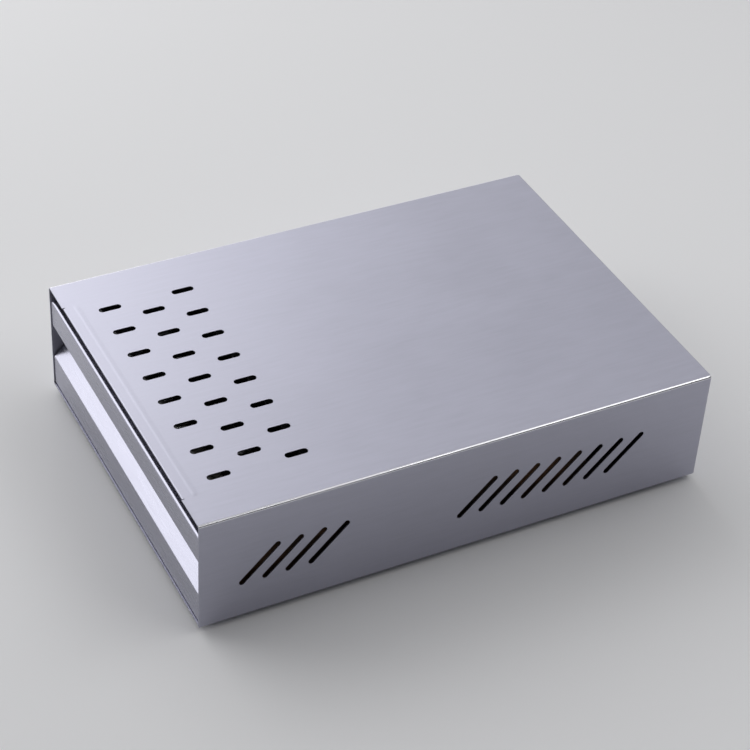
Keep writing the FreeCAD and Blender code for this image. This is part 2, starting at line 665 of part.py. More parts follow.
def make_runners():
    """Three-part ball runners; each member nests in the next with balls between the flanges."""
    wall = "(liner_half_width - thin_sheet)"
    members = (
        ("outer", wall, f"({wall} - 9.4)", "0"),
        ("middle", f"({wall} - 2.6)", f"({wall} - 10.6)", "(runner_sheet + ball_gap)"),
        ("inner", "tray_half_width", "(tray_half_width + 8)", "2*(runner_sheet + ball_gap)"))
    cages = (
        ("outer", f"({wall} - 1.6)", f"({wall} - 8.5)", f"({wall} - 5.5)", "0"),
        ("inner", f"({wall} - 4.1)", f"({wall} - 10.1)", f"({wall} - 7.8)", "(runner_sheet + ball_gap)"))
    for part, web, toe, step in members:
        for side, sign in (("near", "-"), ("far", "")):
            low, high = f"(runner_low + {step})", f"(runner_high - {step})"
            piece = channel(f"{side}_{part}_channel", f"{sign}{web}", f"{sign}{toe}", low, high,
                            "runner_sheet", "runner_length", RUNNER_MIDDLE)
            node(f"{side}_runner_{part}", piece)
    for part, web, toe, track, step in cages:
        solids = []
        for side, sign in (("near", "-"), ("far", "")):
            low_ball = f"(runner_low + {step} + runner_sheet + ball_gap/2)"
            high_ball = f"(runner_high - {step} - runner_sheet - ball_gap/2)"
            cage = channel(f"{side}_{part}_cage", f"{sign}{web}", f"{sign}{toe}",
                           f"({low_ball} - cage_sheet/2)", f"({high_ball} + cage_sheet/2)",
                           "cage_sheet", "cage_length", CAGE_MIDDLE)
            drawing = sketch(cage, f"{side}_{part}_ball_holes", "XY_Plane", "runner_high")
            circle(drawing, f"{CAGE_MIDDLE} - 2*ball_pitch", f"{sign}{track}", "ball_radius + 0.1")
            first = pocket(cage, f"{side}_{part}_ball_hole", drawing, "runner_high - runner_low")
            repeat(cage, f"{side}_{part}_ball_row", first, "X_Axis", "ball_pitch", 5)
            solids.append(cage)
            for index in range(5):
                for level in (low_ball, high_ball):
                    where = (f"{CAGE_MIDDLE} + ({index} - 2)*ball_pitch", f"{sign}{track}", level)
                    solids.append(ball(f"{side}_{part}_ball", where, "ball_radius"))
        node(f"{part}_ball_cages", group(part + "_cage_set", solids))


def make_food_rack():
    """Welded wire rack: a round-cornered frame, long wires and two cross wires under them."""
    front, rear, half = value("rack_front"), value("rack_rear"), value("rack_half_width")
    middle = (front + rear) / 2
    loop = [(middle, -half), (rear, -half), (rear, half), (front, half), (front, -half), (middle, -half)]
    frame = swept("rack_frame", [Vector(x, y, value("rack_level")) for x, y in loop],
                  value("rack_corner"), value("frame_wire"))
    wires = [frame]
    for index in range(-9, 10):
        wires.append(rod("rack_long_wire", "x", ("rack_front", f"{index}*rack_pitch", "rack_level"),
                         "rack_wire", "rack_rear - rack_front"))
    under = "rack_level - 2*rack_wire + 0.2"
    for across in ("rack_front + 70", "rack_rear - 70"):
        wires.append(rod("rack_cross_wire", "y", (across, "-9*rack_pitch", under), "rack_wire",
                         "18*rack_pitch"))
    return node("food_rack", join("rack_weld", wires))


def pressed_pan(name, low, high, corner, sheet):
    """An open pan with round corners between two bound corners."""
    body = new_body(name)
    plan = sketch(body, name + "_plan", "XY_Plane", low[2])
    outline(plan, rectangle(low[0], high[0], low[1], high[1]))
    blank = pad(body, name + "_blank", plan, f"({high[2]}) - ({low[2]})")
    corners = dress(body, "Fillet", name + "_corners", blank,
                    lambda edge: edge.BoundBox.ZLength > 5, corner)
    bends = dress(body, "Fillet", name + "_bends", corners,
                  lambda edge: lies(edge, z=value(low[2])), "3")
    hollow(body, name + "_skin", bends, lambda face: lies(face, z=value(high[2])), sheet)
    return body


def make_loose_trays():
    """Drip tray, chip tray with its rim, and the chip tray's slotted lid."""
    node("drip_tray", pressed_pan("drip_tray", ("rack_front + 2", "-drip_half_width", "drip_low"),
                                  ("rack_rear - 2", "drip_half_width", "drip_high"), "10", "0.8"))
    low = ("chip_bay_front + 2", "-chip_half_width", "chip_low")
    high = ("chip_bay_rear - 2", "chip_half_width", "chip_high")
    body = pressed_pan("chip_tray", low, high, "8", "0.8")
    drawing = sketch(body, "chip_rim", "XY_Plane", "chip_high - 0.8")
    outline(drawing, rectangle(f"{low[0]} - chip_rim", f"{high[0]} + chip_rim",
                               f"{low[1]} - chip_rim", f"{high[1]} + chip_rim"))
    outline(drawing, rectangle(f"{low[0]} + 3", f"{high[0]} - 3", f"{low[1]} + 3", f"{high[1]} - 3"))
    pad(body, "chip_rim_sheet", drawing, "0.8")
    node("chip_tray", body)

    body = new_body("chip_tray_lid")
    top = "(chip_high + 0.2)"
    drawing = sketch(body, "lid_plan", "XY_Plane", top)
    outline(drawing, rectangle(f"{low[0]} - 5", f"{high[0]} + 5", f"{low[1]} - 5", f"{high[1]} + 5"))
    pad(body, "lid_sheet", drawing, "thin_sheet")
    middle = "(chip_bay_front + chip_bay_rear)/2"
    drawing = sketch(body, "lid_slot", "XY_Plane", f"{top} + thin_sheet")
    for shift in ("-22", "22"):
        obround(drawing, (f"{middle} + {shift} - 8", "-95"), (f"{middle} + {shift} + 8", "-95"), "2.5")
    slots = pocket(body, "lid_slot_pair", drawing, "3*thin_sheet")
    repeat(body, "lid_slot_rows", slots, "Y_Axis", "15.8", 13)
    drawing = sketch(body, "lid_handle_section", "YZ_Plane", middle)
    foot, crown = f"{top} + thin_sheet", f"{top} + 11"
    outline(drawing, [("-25", foot), ("-25", crown), ("25", crown), ("25", foot), ("23.5", foot),
                      ("23.5", f"{crown} - 1.5"), ("-23.5", f"{crown} - 1.5"), ("-23.5", foot)])
    pad(body, "lid_handle", drawing, "12", both_ways=True)
    node("chip_tray_lid", body)


# ---------------------------------------------------------------- chamber

LINER_FRONT = f"({FRONT} + liner_front)"
LINER_REAR = f"({LINER_FRONT} + liner_length)"
LINER_SIDE = "liner_half_width"
GLAND_SIDES = ("-1.5*element_leg", "1.5*element_leg")
BULB_SIDE, BULB_LEVEL = "164", "108"


def make_chamber_liner():
    """Flat sheets welded along their edges, and four strips as the flange round the mouth."""
    inner_side = f"({LINER_SIDE} - thin_sheet)"
    reach = "(body_width/2 - shell_sheet - 0.5)"
    flange_low, flange_high = f"({BASE} + 2)", f"({TOP} - shell_sheet - 0.5)"
    flange_rear = f"({LINER_FRONT} + thin_sheet)"
    sheets = [
        block("liner_near_wall", (LINER_FRONT, f"-{LINER_SIDE}", "liner_low"),
              (LINER_REAR, f"-{inner_side}", "liner_high")),
        block("liner_far_wall", (LINER_FRONT, inner_side, "liner_low"),
              (LINER_REAR, LINER_SIDE, "liner_high")),
        block("liner_floor", (LINER_FRONT, f"-{inner_side}", "liner_low"),
              (LINER_REAR, inner_side, "liner_low + thin_sheet")),
        block("flange_near", (LINER_FRONT, f"-{reach}", flange_low),
              (flange_rear, f"-{LINER_SIDE}", flange_high)),
        block("flange_far", (LINER_FRONT, LINER_SIDE, flange_low), (flange_rear, reach, flange_high)),
        block("flange_bottom", (LINER_FRONT, f"-{LINER_SIDE}", flange_low),
              (flange_rear, LINER_SIDE, "liner_low")),
        block("flange_top", (LINER_FRONT, f"-{LINER_SIDE}", "liner_high"),
              (flange_rear, LINER_SIDE, flange_high))]

    roof = new_body("liner_roof")
    drawing = sketch(roof, "liner_roof_outline", "XY_Plane", "liner_high - thin_sheet")
    outline(drawing, rectangle(LINER_FRONT, LINER_REAR, f"-{inner_side}", inner_side))
    for column in range(3):
        centre = f"({FRONT} + outlet_first + {column}*outlet_pitch)"
        outline(drawing, rectangle(f"{centre} - port_width/2 + 1.2", f"{centre} + port_width/2",
                                   "-port_length/2", "port_length/2"))
    pad(roof, "liner_roof_sheet", drawing, "thin_sheet")

    wall = new_body("liner_rear_wall")
    drawing = sketch(wall, "liner_rear_outline", "YZ_Plane", f"{LINER_REAR} - thin_sheet")
    outline(drawing, rectangle(f"-{inner_side}", inner_side,
                               "liner_low + thin_sheet", "liner_high - thin_sheet"))
    for side in GLAND_SIDES:
        circle(drawing, side, "element_level", "5")
    circle(drawing, BULB_SIDE, BULB_LEVEL, "1.4")
    pad(wall, "liner_rear_sheet", drawing, "thin_sheet")
    return node("chamber_liner", group("liner_sheets", sheets + [roof, wall]))


def make_insulation():
    """Mineral-wool mats round the liner."""
    mats = (("-246", "-196"), ("-144", "74"), ("126", "149"))
    node("floor_insulation", group("floor_mats", [
        block("floor_mat", (front, "-150", f"{BASE} + 2"), (rear, "150", "liner_low - 0.4"))
        for front, rear in mats]))
    for name, low, high in (("near", f"-{LINER_SIDE} - 12", f"-{LINER_SIDE} - 0.3"),
                            ("far", f"{LINER_SIDE} + 0.3", f"{LINER_SIDE} + 12")):
        node(name + "_insulation", block(name + "_mat", (f"{LINER_FRONT} + 2", low, "liner_low + 2"),
                                         (f"{LINER_REAR} - 1", high, "liner_high - 2")))
    node("ceiling_insulation", block("ceiling_mat", ("-120", "-170", "liner_high + 0.3"),
                                     (f"{LINER_REAR} - 2", "170", f"{TOP} - shell_sheet - 0.8")))
    mat = block("rear_mat", (f"{LINER_REAR} + 0.5", "-170", "liner_low + 2"),
                (f"{LINER_REAR} + 8", "170", "liner_high - 2"))
    passages = [rod("rear_mat_hole", "x", (LINER_REAR, side, "element_level"), "9", "10")
                for side in GLAND_SIDES]
    passages.append(rod("rear_mat_bulb_hole", "x", (LINER_REAR, BULB_SIDE, BULB_LEVEL), "2", "10"))
    node("rear_insulation", cut("rear_mat_cut", mat, passages))


def make_seals_and_catch():
    """Silicone seal at the liner's mouth, gasket round the smoke ports, magnetic catch."""
    seal_front = f"{PANEL_BACK} + seal_gap"
    outer = block("seal_outer", (seal_front, "-183", f"{DRAWER_LOW} + 0.5"),
                  (LINER_FRONT, "183", f"{DRAWER_HIGH} + 2"))
    inner = block("seal_inner", (f"{seal_front} - 1", "-175", "liner_low - 1"),
                  (f"{LINER_FRONT} + 1", "175", "liner_high + 0.4"))
    node("drawer_seal", cut("seal_ring", outer, [inner]))
    outer = block("gasket_outer", (f"{LINER_FRONT} + thin_sheet + 0.2", "-158", "liner_high"),
                  ("-135", "158", f"{TOP} - shell_sheet - 0.2"))
    inner = block("gasket_inner", (f"{LINER_FRONT} - 1", "-153", "liner_high - 1"),
                  ("-139", "153", f"{TOP}"))
    node("outlet_gasket", cut("gasket_frame", outer, [inner]))
    case = block("catch_case", (f"{LINER_FRONT} - 1.2", "-18", "liner_high - 9"),
                 (f"{LINER_FRONT} + 20", "18", "liner_high - thin_sheet"))
    node("magnetic_catch", case)


def make_heating():
    """Tubular element in a W on the heat shield, its clips and the glands in the rear wall."""
    level, front, leg = value("element_level"), value("element_front"), value("element_leg")
    rear, turn_back = value(LINER_REAR) + 22, 130
    legs = [-1.5 * leg, -0.5 * leg, 0.5 * leg, 1.5 * leg]
    path = [(rear, legs[0]), (front, legs[0]), (front, legs[1]), (turn_back, legs[1]),
            (turn_back, legs[2]), (front, legs[2]), (front, legs[3]), (rear, legs[3])]
    tube = swept("element_tube", [Vector(x, y, level) for x, y in path], leg / 2 - 0.5,
                 value("element_radius"))
    pins = [rod("element_pin", "x", (f"{LINER_REAR} + 22", side, "element_level"), "1.5", "10")
            for side in GLAND_SIDES]
    node("heating_element", join("element_weld", [tube] + pins))

    glands = []
    for side in GLAND_SIDES:
        where = (f"{LINER_REAR} - 4", side, "element_level")
        sleeve = rod("gland_sleeve", "x", where, "5", "9.5")
        inside = rod("gland_inside", "x", where, "6.3", "4 - thin_sheet")
        outside = rod("gland_outside", "x", (LINER_REAR, side, "element_level"), "6.3", "3")
        bore = rod("gland_bore", "x", (f"{LINER_REAR} - 5", side, "element_level"),
                   "element_radius + 0.05", "12")
        glands.append(cut("gland", join("gland_blank", [sleeve, inside, outside]), [bore]))
    node("element_glands", group("gland_pair", glands))

    shield_low, shield_top = "(liner_low + thin_sheet)", "(liner_low + 3*thin_sheet)"
    points = [("-100", shield_low), ("-99", shield_low), ("-99", f"{shield_top} - thin_sheet"),
              ("99", f"{shield_top} - thin_sheet"), ("99", shield_low), ("100", shield_low),
              ("100", shield_top), ("-100", shield_top)]
    node("heat_shield", section("heat_shield", "YZ_Plane", points, "120", "80")[0])

    clips = []
    for across in ("56", "96"):
        for side in ("-1.5*element_leg", "-0.5*element_leg", "0.5*element_leg", "1.5*element_leg"):
            where = (f"{across} - 4", side, "element_level")
            arch = cut("clip_arch", washer("clip_ring", "x", where, "element_radius + 1",
                                           "element_radius + 0.05", "8"),
                       [block("clip_trim", (f"{across} - 5", f"{side} - 6", "element_level - 6"),
                              (f"{across} + 5", f"{side} + 6", "element_level"))])
            pieces = [arch]
            for sign in ("-", ""):
                inner, outer, toe = (f"{side} + ({sign}(element_radius + {reach}))"
                                     for reach in (0.05, 1, 7))
                leg_low, leg_high = (outer, inner) if sign else (inner, outer)
                foot_low, foot_high = (toe, inner) if sign else (inner, toe)
                pieces.append(block("clip_leg", (f"{across} - 4", leg_low, shield_top),
                                    (f"{across} + 4", leg_high, "element_level")))
                pieces.append(block("clip_foot", (f"{across} - 4", foot_low, shield_top),
                                    (f"{across} + 4", foot_high, f"{shield_top} + 0.8")))
            clips.append(join("element_clip", pieces))
    node("element_clips", group("clip_set", clips))


# ---------------------------------------------------------------- rear controls

PANEL_RIM = f"({REAR} - shell_sheet)"
PANEL_FLOOR = f"({PANEL_RIM} - panel_depth + thin_sheet)"
PANEL_BEHIND = f"({PANEL_RIM} - panel_depth)"
ROCKER_AXIS = f"({PANEL_FLOOR} - 4)"
LEVEL = "control_level"


def make_control_panel():
    """Pressed dish behind the shell's rear opening, so that no control stands out of the body."""
    body = new_body("control_panel")
    side, flange = "panel_half_width", "panel_flange"
    drawing = sketch(body, "panel_dish", "YZ_Plane", PANEL_RIM)
    outline(drawing, rectangle(f"-{side}", side, "panel_low", "panel_high"))
    dish = pad(body, "panel_dish_block", drawing, "panel_depth", reverse=True)
    rounded = dress(body, "Fillet", "dish_corners", dish,
                    lambda edge: edge.BoundBox.XLength > 10, "panel_corner")
    behind, rim = value(PANEL_BEHIND), value(PANEL_RIM)
    bends = dress(body, "Fillet", "dish_floor_bends", rounded,
                  lambda edge: lies(edge, x=behind), "panel_corner - 0.5")
    hollow(body, "dish_skin", bends, lambda face: lies(face, x=rim), "thin_sheet")
    drawing = sketch(body, "panel_flange_outline", "YZ_Plane", f"{PANEL_RIM} - thin_sheet")
    outline(drawing, rectangle(f"-({side} + {flange})", f"{side} + {flange}",
                               f"panel_low - {flange}", f"panel_high + {flange}"))
    outline(drawing, rectangle(f"-({side} - thin_sheet)", f"{side} - thin_sheet",
                               "panel_low + thin_sheet", "panel_high - thin_sheet"))
    for across, up in PANEL_SCREWS:
        circle(drawing, across, up, "2.1")
    pad(body, "panel_flange_sheet", drawing, "thin_sheet")
    drawing = sketch(body, "panel_cutouts", "YZ_Plane", PANEL_FLOOR)
    circle(drawing, "knob_side", LEVEL, "5")
    circle(drawing, "lamp_side", LEVEL, "5")
    outline(drawing, rectangle("switch_side - 11", "switch_side + 11", f"{LEVEL} - 15", f"{LEVEL} + 15"))
    outline(drawing, rectangle("inlet_side - 14", "inlet_side + 14", f"{LEVEL} - 10.2", f"{LEVEL} + 10.2"))
    for shift in ("- 20", "+ 20"):
        circle(drawing, f"inlet_side {shift}", LEVEL, "1.5")
    pocket(body, "panel_cutout_pocket", drawing, "2*thin_sheet")
    node("control_panel", body)

    screws = []
    for index, (across, up) in enumerate(PANEL_SCREWS):
        head = cone(f"panel_screw_head_{index}", "x", (f"{REAR} - 1.1", across, up), "2", "3.1", "1.05")
        shank = rod(f"panel_screw_shank_{index}", "x", (f"{REAR} - 9", across, up), "2", "7.9")
        screws.append(join(f"panel_screw_{index}", [head, shank]))
    node("panel_screws", group("panel_screw_set", screws))


def make_thermostat():
    """Capillary thermostat: body with a threaded bush, nut, spindle, knob and sensing bulb."""
    side = "knob_side"
    case = block("thermostat_case", (f"{PANEL_BEHIND} - 26", f"{side} - 17", f"{LEVEL} - 17"),
                 (PANEL_BEHIND, f"{side} + 17", f"{LEVEL} + 17"))
    bush = rod("thermostat_bush", "x", (PANEL_BEHIND, side, LEVEL), "5", "4.6")
    tabs = [block("thermostat_tab", (f"{PANEL_BEHIND} - 33", f"{side} + ({shift}) - 3", "65.6"),
                  (f"{PANEL_BEHIND} - 26", f"{side} + ({shift}) + 3", "66.4")) for shift in (-6, 6)]
    bore = rod("thermostat_bore", "x", (f"{PANEL_BEHIND} - 16", side, LEVEL), "spindle_radius + 0.05", "24")
    node("thermostat_body", cut("thermostat_cut", join("thermostat_blank", [case, bush] + tabs), [bore]))

    nut = doc.addObject("Part::Prism", "thermostat_hexagon")
    nut.Polygon = 6
    nut.Circumradius = 8
    nut.Height = 2.6
    place(nut, "x", (PANEL_FLOOR, side, LEVEL))
    node("thermostat_nut", cut("thermostat_nut_cut", nut, [
        rod("thermostat_nut_bore", "x", (f"{PANEL_FLOOR} - 1", side, LEVEL), "5", "5")]))

    node("thermostat_spindle", rod("spindle", "x", (f"{PANEL_BEHIND} - 15.5", side, LEVEL),
                                   "spindle_radius", "33"))
    knob_start = f"({PANEL_FLOOR} + 4.4)"
    skirt = rod("knob_skirt", "x", (knob_start, side, LEVEL), "knob_radius", "4")
    grip = cone("knob_grip", "x", (f"{knob_start} + 4", side, LEVEL), "knob_radius - 3",
                "knob_radius - 5", "12.5")
    pointer = block("knob_pointer", (f"{knob_start} + 3.5", f"{side} - 1", f"{LEVEL} + 6"),
                    (f"{knob_start} + 17.2", f"{side} + 1", f"{LEVEL} + knob_radius - 1"))
    flutes = []
    for index in range(16):
        angle = f"{index}*22.5 + 11.25"
        across = f"{side} + (knob_radius - 2.2)*sin({angle})"
        up = f"{LEVEL} + (knob_radius - 2.2)*cos({angle})"
        flutes.append(rod("knob_flute", "x", (f"{knob_start} + 4", across, up), "2", "14"))
    bore = rod("knob_bore", "x", (f"{knob_start} - 1", side, LEVEL), "spindle_radius",
               f"{PANEL_BEHIND} - 15.5 + 33 - {knob_start} + 1")
    body = cut("knob_turned", join("knob_blank", [skirt, grip]), flutes)
    node("thermostat_knob", cut("knob_cut", join("knob_marked", [body, pointer]), [bore]))

    # The sensing bulb hangs on its capillary, soldered to it, inside the chamber.
    rear = value(LINER_REAR)
    bulb_side, bulb_level = float(BULB_SIDE), float(BULB_LEVEL)
    leaving = Vector(value(f"{PANEL_BEHIND} - 26"), value(side) + 12, value(LEVEL) + 8)
    route = [leaving, leaving - Vector(24, 0, 0), Vector(rear + 26, bulb_side, bulb_level),
             Vector(rear - 12, bulb_side, bulb_level)]
    tube = swept("capillary", route, 12, 0.8)
    bulb = rod("bulb_tube", "x", (f"{LINER_REAR} - 92", BULB_SIDE, BULB_LEVEL), "3", "80")
    node("sensing_bulb", join("bulb_solder", [tube, bulb]))
    clips = []
    for across in (f"{LINER_REAR} - 80", f"{LINER_REAR} - 30"):
        ring = washer("bulb_clip_ring", "x", (across, BULB_SIDE, BULB_LEVEL), "4", "3.05", "6")
        stem = block("bulb_clip_stem", (across, f"{BULB_SIDE} + 3.3", f"{BULB_LEVEL} - 0.5"),
                     (f"{across} + 6", f"{LINER_SIDE} - thin_sheet", f"{BULB_LEVEL} + 0.5"))
        clips.append(join("bulb_clip", [ring, stem]))
    node("bulb_clips", group("bulb_clip_pair", clips))


def make_switch_and_lamp():
    """Rocker switch, shown switched off on its trunnions, and the round indicator lamp."""
    side = "switch_side"
    flange = block("switch_flange", (PANEL_FLOOR, f"{side} - 12.5", f"{LEVEL} - 17"),
                   (f"{PANEL_FLOOR} + 2", f"{side} + 12.5", f"{LEVEL} + 17"))
    case = block("switch_case", (f"{PANEL_FLOOR} - 20", f"{side} - 11", f"{LEVEL} - 15"),
                 (PANEL_FLOOR, f"{side} + 11", f"{LEVEL} + 15"))
    tabs = [block("switch_tab", (f"{PANEL_FLOOR} - 27", f"{side} - 3", f"{LEVEL} + ({shift}) - 0.4"),
                  (f"{PANEL_FLOOR} - 20", f"{side} + 3", f"{LEVEL} + ({shift}) + 0.4"))
            for shift in (-8, 8)]
    well = block("switch_well", (f"{PANEL_FLOOR} - 14", f"{side} - 9.5", f"{LEVEL} - 13"),
                 (f"{PANEL_FLOOR} + 3", f"{side} + 9.5", f"{LEVEL} + 13"))
    bearing = rod("switch_bearing", "y", (ROCKER_AXIS, f"{side} - 10.4", LEVEL), "1.3", "20.8")
    node("switch_housing", cut("switch_cut", join("switch_blank", [flange, case] + tabs),
                               [well, bearing]))
    body, rocker = section("rocker", "XZ_Plane", [("-4", "-11"), ("8.5", "-11.3"), ("5.5", "0"),
                                                  ("8.5", "11.3"), ("-4", "11")], "18.4")
    dress(body, "Fillet", "rocker_edges", rocker,
          lambda edge: edge.BoundBox.XMax > 5 and edge.BoundBox.YLength < 1, "0.8")
    drawing = sketch(body, "trunnion_section", "XZ_Plane")
    circle(drawing, "0", "0", "1.2")
    pad(body, "trunnions", drawing, "20.4", both_ways=True)
    body.Placement = Placement(Vector(), Rotation(Vector(0, 1, 0), -8))
    for letter, text in zip("xyz", (ROCKER_AXIS, side, LEVEL)):
        body.setExpression("Placement.Base." + letter, bound(text))
    node("switch_rocker", body)

    side = "lamp_side"
    stem = rod("lamp_stem", "x", (f"{PANEL_FLOOR} - 18", side, LEVEL), "5", "18")
    rim = rod("lamp_rim", "x", (PANEL_FLOOR, side, LEVEL), "6.5", "1")
    node("lamp_body", join("lamp_blank", [stem, rim]))
    node("lamp_lens", cone("lamp_cone", "x", (f"{PANEL_FLOOR} + 1", side, LEVEL), "5.3", "4.2", "3.4"))


def make_inlet():
    """Three-pin appliance inlet with its pins and screws."""
    side = "inlet_side"
    flange = block("inlet_flange", (PANEL_FLOOR, f"{side} - 25", f"{LEVEL} - 11.5"),
                   (f"{PANEL_FLOOR} + 2.5", f"{side} + 25", f"{LEVEL} + 11.5"))
    case = block("inlet_case", (f"{PANEL_FLOOR} - 18", f"{side} - 13.9", f"{LEVEL} - 10.1"),
                 (PANEL_FLOOR, f"{side} + 13.9", f"{LEVEL} + 10.1"))
    well = block("inlet_well", (f"{PANEL_FLOOR} - 14", f"{side} - 12", f"{LEVEL} - 8"),
                 (f"{PANEL_FLOOR} + 3", f"{side} + 12", f"{LEVEL} + 8"))
    pins = [block("inlet_pin", (f"{PANEL_FLOOR} - 26", f"{side} + ({shift}) - 1", f"{LEVEL} + ({up}) - 2"),
                  (f"{PANEL_FLOOR} - 2.5", f"{side} + ({shift}) + 1", f"{LEVEL} + ({up}) + 2"))
            for shift, up in ((-7, -2), (0, 2), (7, -2))]
    holes = [rod("inlet_screw_hole", "x", (f"{PANEL_FLOOR} - 1", f"{side} {shift}", LEVEL), "1.6", "5")
             for shift in ("- 20", "+ 20")]
    node("mains_inlet", cut("inlet_cut", join("inlet_blank", [flange, case]), [well] + pins + holes))
    node("inlet_pins", group("inlet_pin_set", pins))
    pan_screws("inlet_screws", "x", [(f"{PANEL_FLOOR} + 2.5", f"{side} {shift}", LEVEL)
                                     for shift in ("- 20", "+ 20")], 1.5, -8, 2.8, 1.6)


def make_wiring():
    """Insulated wires from tab to tab, and the earth stud on the base pan."""
    back = value(PANEL_FLOOR)
    inlet, switch, knob, level = (value(name) for name in ("inlet_side", "switch_side", "knob_side", LEVEL))
    rear_pin = value(LINER_REAR) + 32
    far_pin, element = value("1.5*element_leg"), value("element_level")
    stud_x, stud_y = 190, -110
    routes = (
        ("live_wire", [(back - 26, inlet - 7, level - 2), (back - 44, inlet - 7, level - 2),
                       (back - 44, switch, level - 8), (back - 27, switch, level - 8)]),
        ("switched_wire", [(back - 27, switch, level + 8), (back - 47, switch, level + 8),
                           (back - 50, knob - 6, 66), (back - 34, knob - 6, 66)]),
        ("heater_wire", [(back - 34, knob + 6, 66), (back - 56, knob + 6, 66),
                         (rear_pin + 18, far_pin, element), (rear_pin, far_pin, element)]),
        ("neutral_wire", [(back - 26, inlet + 7, level - 2), (back - 60, inlet + 7, level - 2),
                          (rear_pin + 20, -far_pin, element), (rear_pin, -far_pin, element)]),
        ("earth_wire", [(back - 26, inlet, level + 2), (back - 40, inlet, level + 2),
                        (back - 40, stud_y, 14), (stud_x + 7, stud_y, 14)]))
    wires = [swept(name, [Vector(*point) for point in points], 5, 1.2) for name, points in routes]
    node("wiring_harness", group("wire_set", wires))

    floor = f"({BASE} + shell_sheet)"
    x, y = str(stud_x), str(stud_y)
    stud = rod("earth_bolt", "z", (x, y, floor), "2", "11")
    lug = cut("earth_lug", block("earth_lug_sheet", (f"{x} - 5", f"{y} - 4", "13.4"),
                                 (f"{x} + 7", f"{y} + 4", "14.6")),
              [rod("earth_lug_hole", "z", (x, y, "12"), "2.1", "4")])
    nuts = [washer("earth_nut", "z", (x, y, start), "4", "2", height)
            for start, height in ((floor, "13.4 - foot_height - shell_sheet"), ("14.6", "3"))]
    node("earth_stud", group("earth_set", [stud, lug] + nuts))


# ---------------------------------------------------------------- build and write

for make in (make_outer_shell, make_base_pan, make_shell_brackets, make_liner_supports,
             make_feet_and_screws, make_drawer_front, make_drawer_tray, make_runners, make_food_rack,
             make_loose_trays, make_chamber_liner, make_insulation, make_seals_and_catch, make_heating,
             make_control_panel, make_thermostat, make_switch_and_lamp, make_inlet, make_wiring):
    make()
doc.recompute()

for item in doc.Objects:
    if "Invalid" in item.State or "Error" in item.State:
        raise RuntimeError(f"{item.Name} failed: {item.State}")
for piece in nodes:
    if piece.Shape.isNull() or not piece.Shape.isValid() or not piece.Shape.Solids:
        raise RuntimeError(f"{piece.Label} has no valid solid")

os.makedirs("parts", exist_ok=True)
for piece in nodes:
    piece.Shape.exportStep(f"parts/{piece.Label}.step")
print(f"{len(nodes)} sub-parts written")
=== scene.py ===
"""Looks of the low drawer-type smoker: materials, detail pieces, floor, lights and camera."""
import json
import math

import bmesh
import bpy
from mathutils import Matrix, Vector, noise


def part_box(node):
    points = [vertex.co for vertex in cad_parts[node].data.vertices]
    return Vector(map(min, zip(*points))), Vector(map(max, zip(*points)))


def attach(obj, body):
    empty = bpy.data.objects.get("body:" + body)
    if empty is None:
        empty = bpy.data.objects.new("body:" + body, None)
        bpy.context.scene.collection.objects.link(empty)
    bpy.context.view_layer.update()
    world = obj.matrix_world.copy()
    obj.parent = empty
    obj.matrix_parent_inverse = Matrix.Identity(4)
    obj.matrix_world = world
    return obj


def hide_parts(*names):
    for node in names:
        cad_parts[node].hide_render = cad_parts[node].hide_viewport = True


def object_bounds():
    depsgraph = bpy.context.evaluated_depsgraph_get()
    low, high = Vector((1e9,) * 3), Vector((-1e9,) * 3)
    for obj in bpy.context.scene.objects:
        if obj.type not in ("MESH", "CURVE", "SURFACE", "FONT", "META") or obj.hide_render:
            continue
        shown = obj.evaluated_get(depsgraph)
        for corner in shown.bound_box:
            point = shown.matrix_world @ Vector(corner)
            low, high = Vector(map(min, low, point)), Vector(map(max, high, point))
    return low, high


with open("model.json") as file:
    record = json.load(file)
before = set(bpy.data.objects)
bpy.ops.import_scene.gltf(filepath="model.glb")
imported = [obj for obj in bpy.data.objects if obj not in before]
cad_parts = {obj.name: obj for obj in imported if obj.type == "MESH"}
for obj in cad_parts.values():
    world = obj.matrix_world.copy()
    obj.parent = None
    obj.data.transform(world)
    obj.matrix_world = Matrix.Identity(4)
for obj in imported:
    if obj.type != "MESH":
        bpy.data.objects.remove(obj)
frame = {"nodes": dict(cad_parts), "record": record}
cad_low, cad_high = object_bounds()
nodes = frame["nodes"]
MM = 0.001
AROUND = 2 * math.pi

# The hem under the top's front edge, in metres behind that edge, and where it stops at the sides.
HEM_START, HEM_CREST, HEM_END = 0.0105, 0.0135, 0.0185
HEM_FADE, HEM_STOP = 0.044, 0.040


# ------------------------------------------------------------------ material building blocks

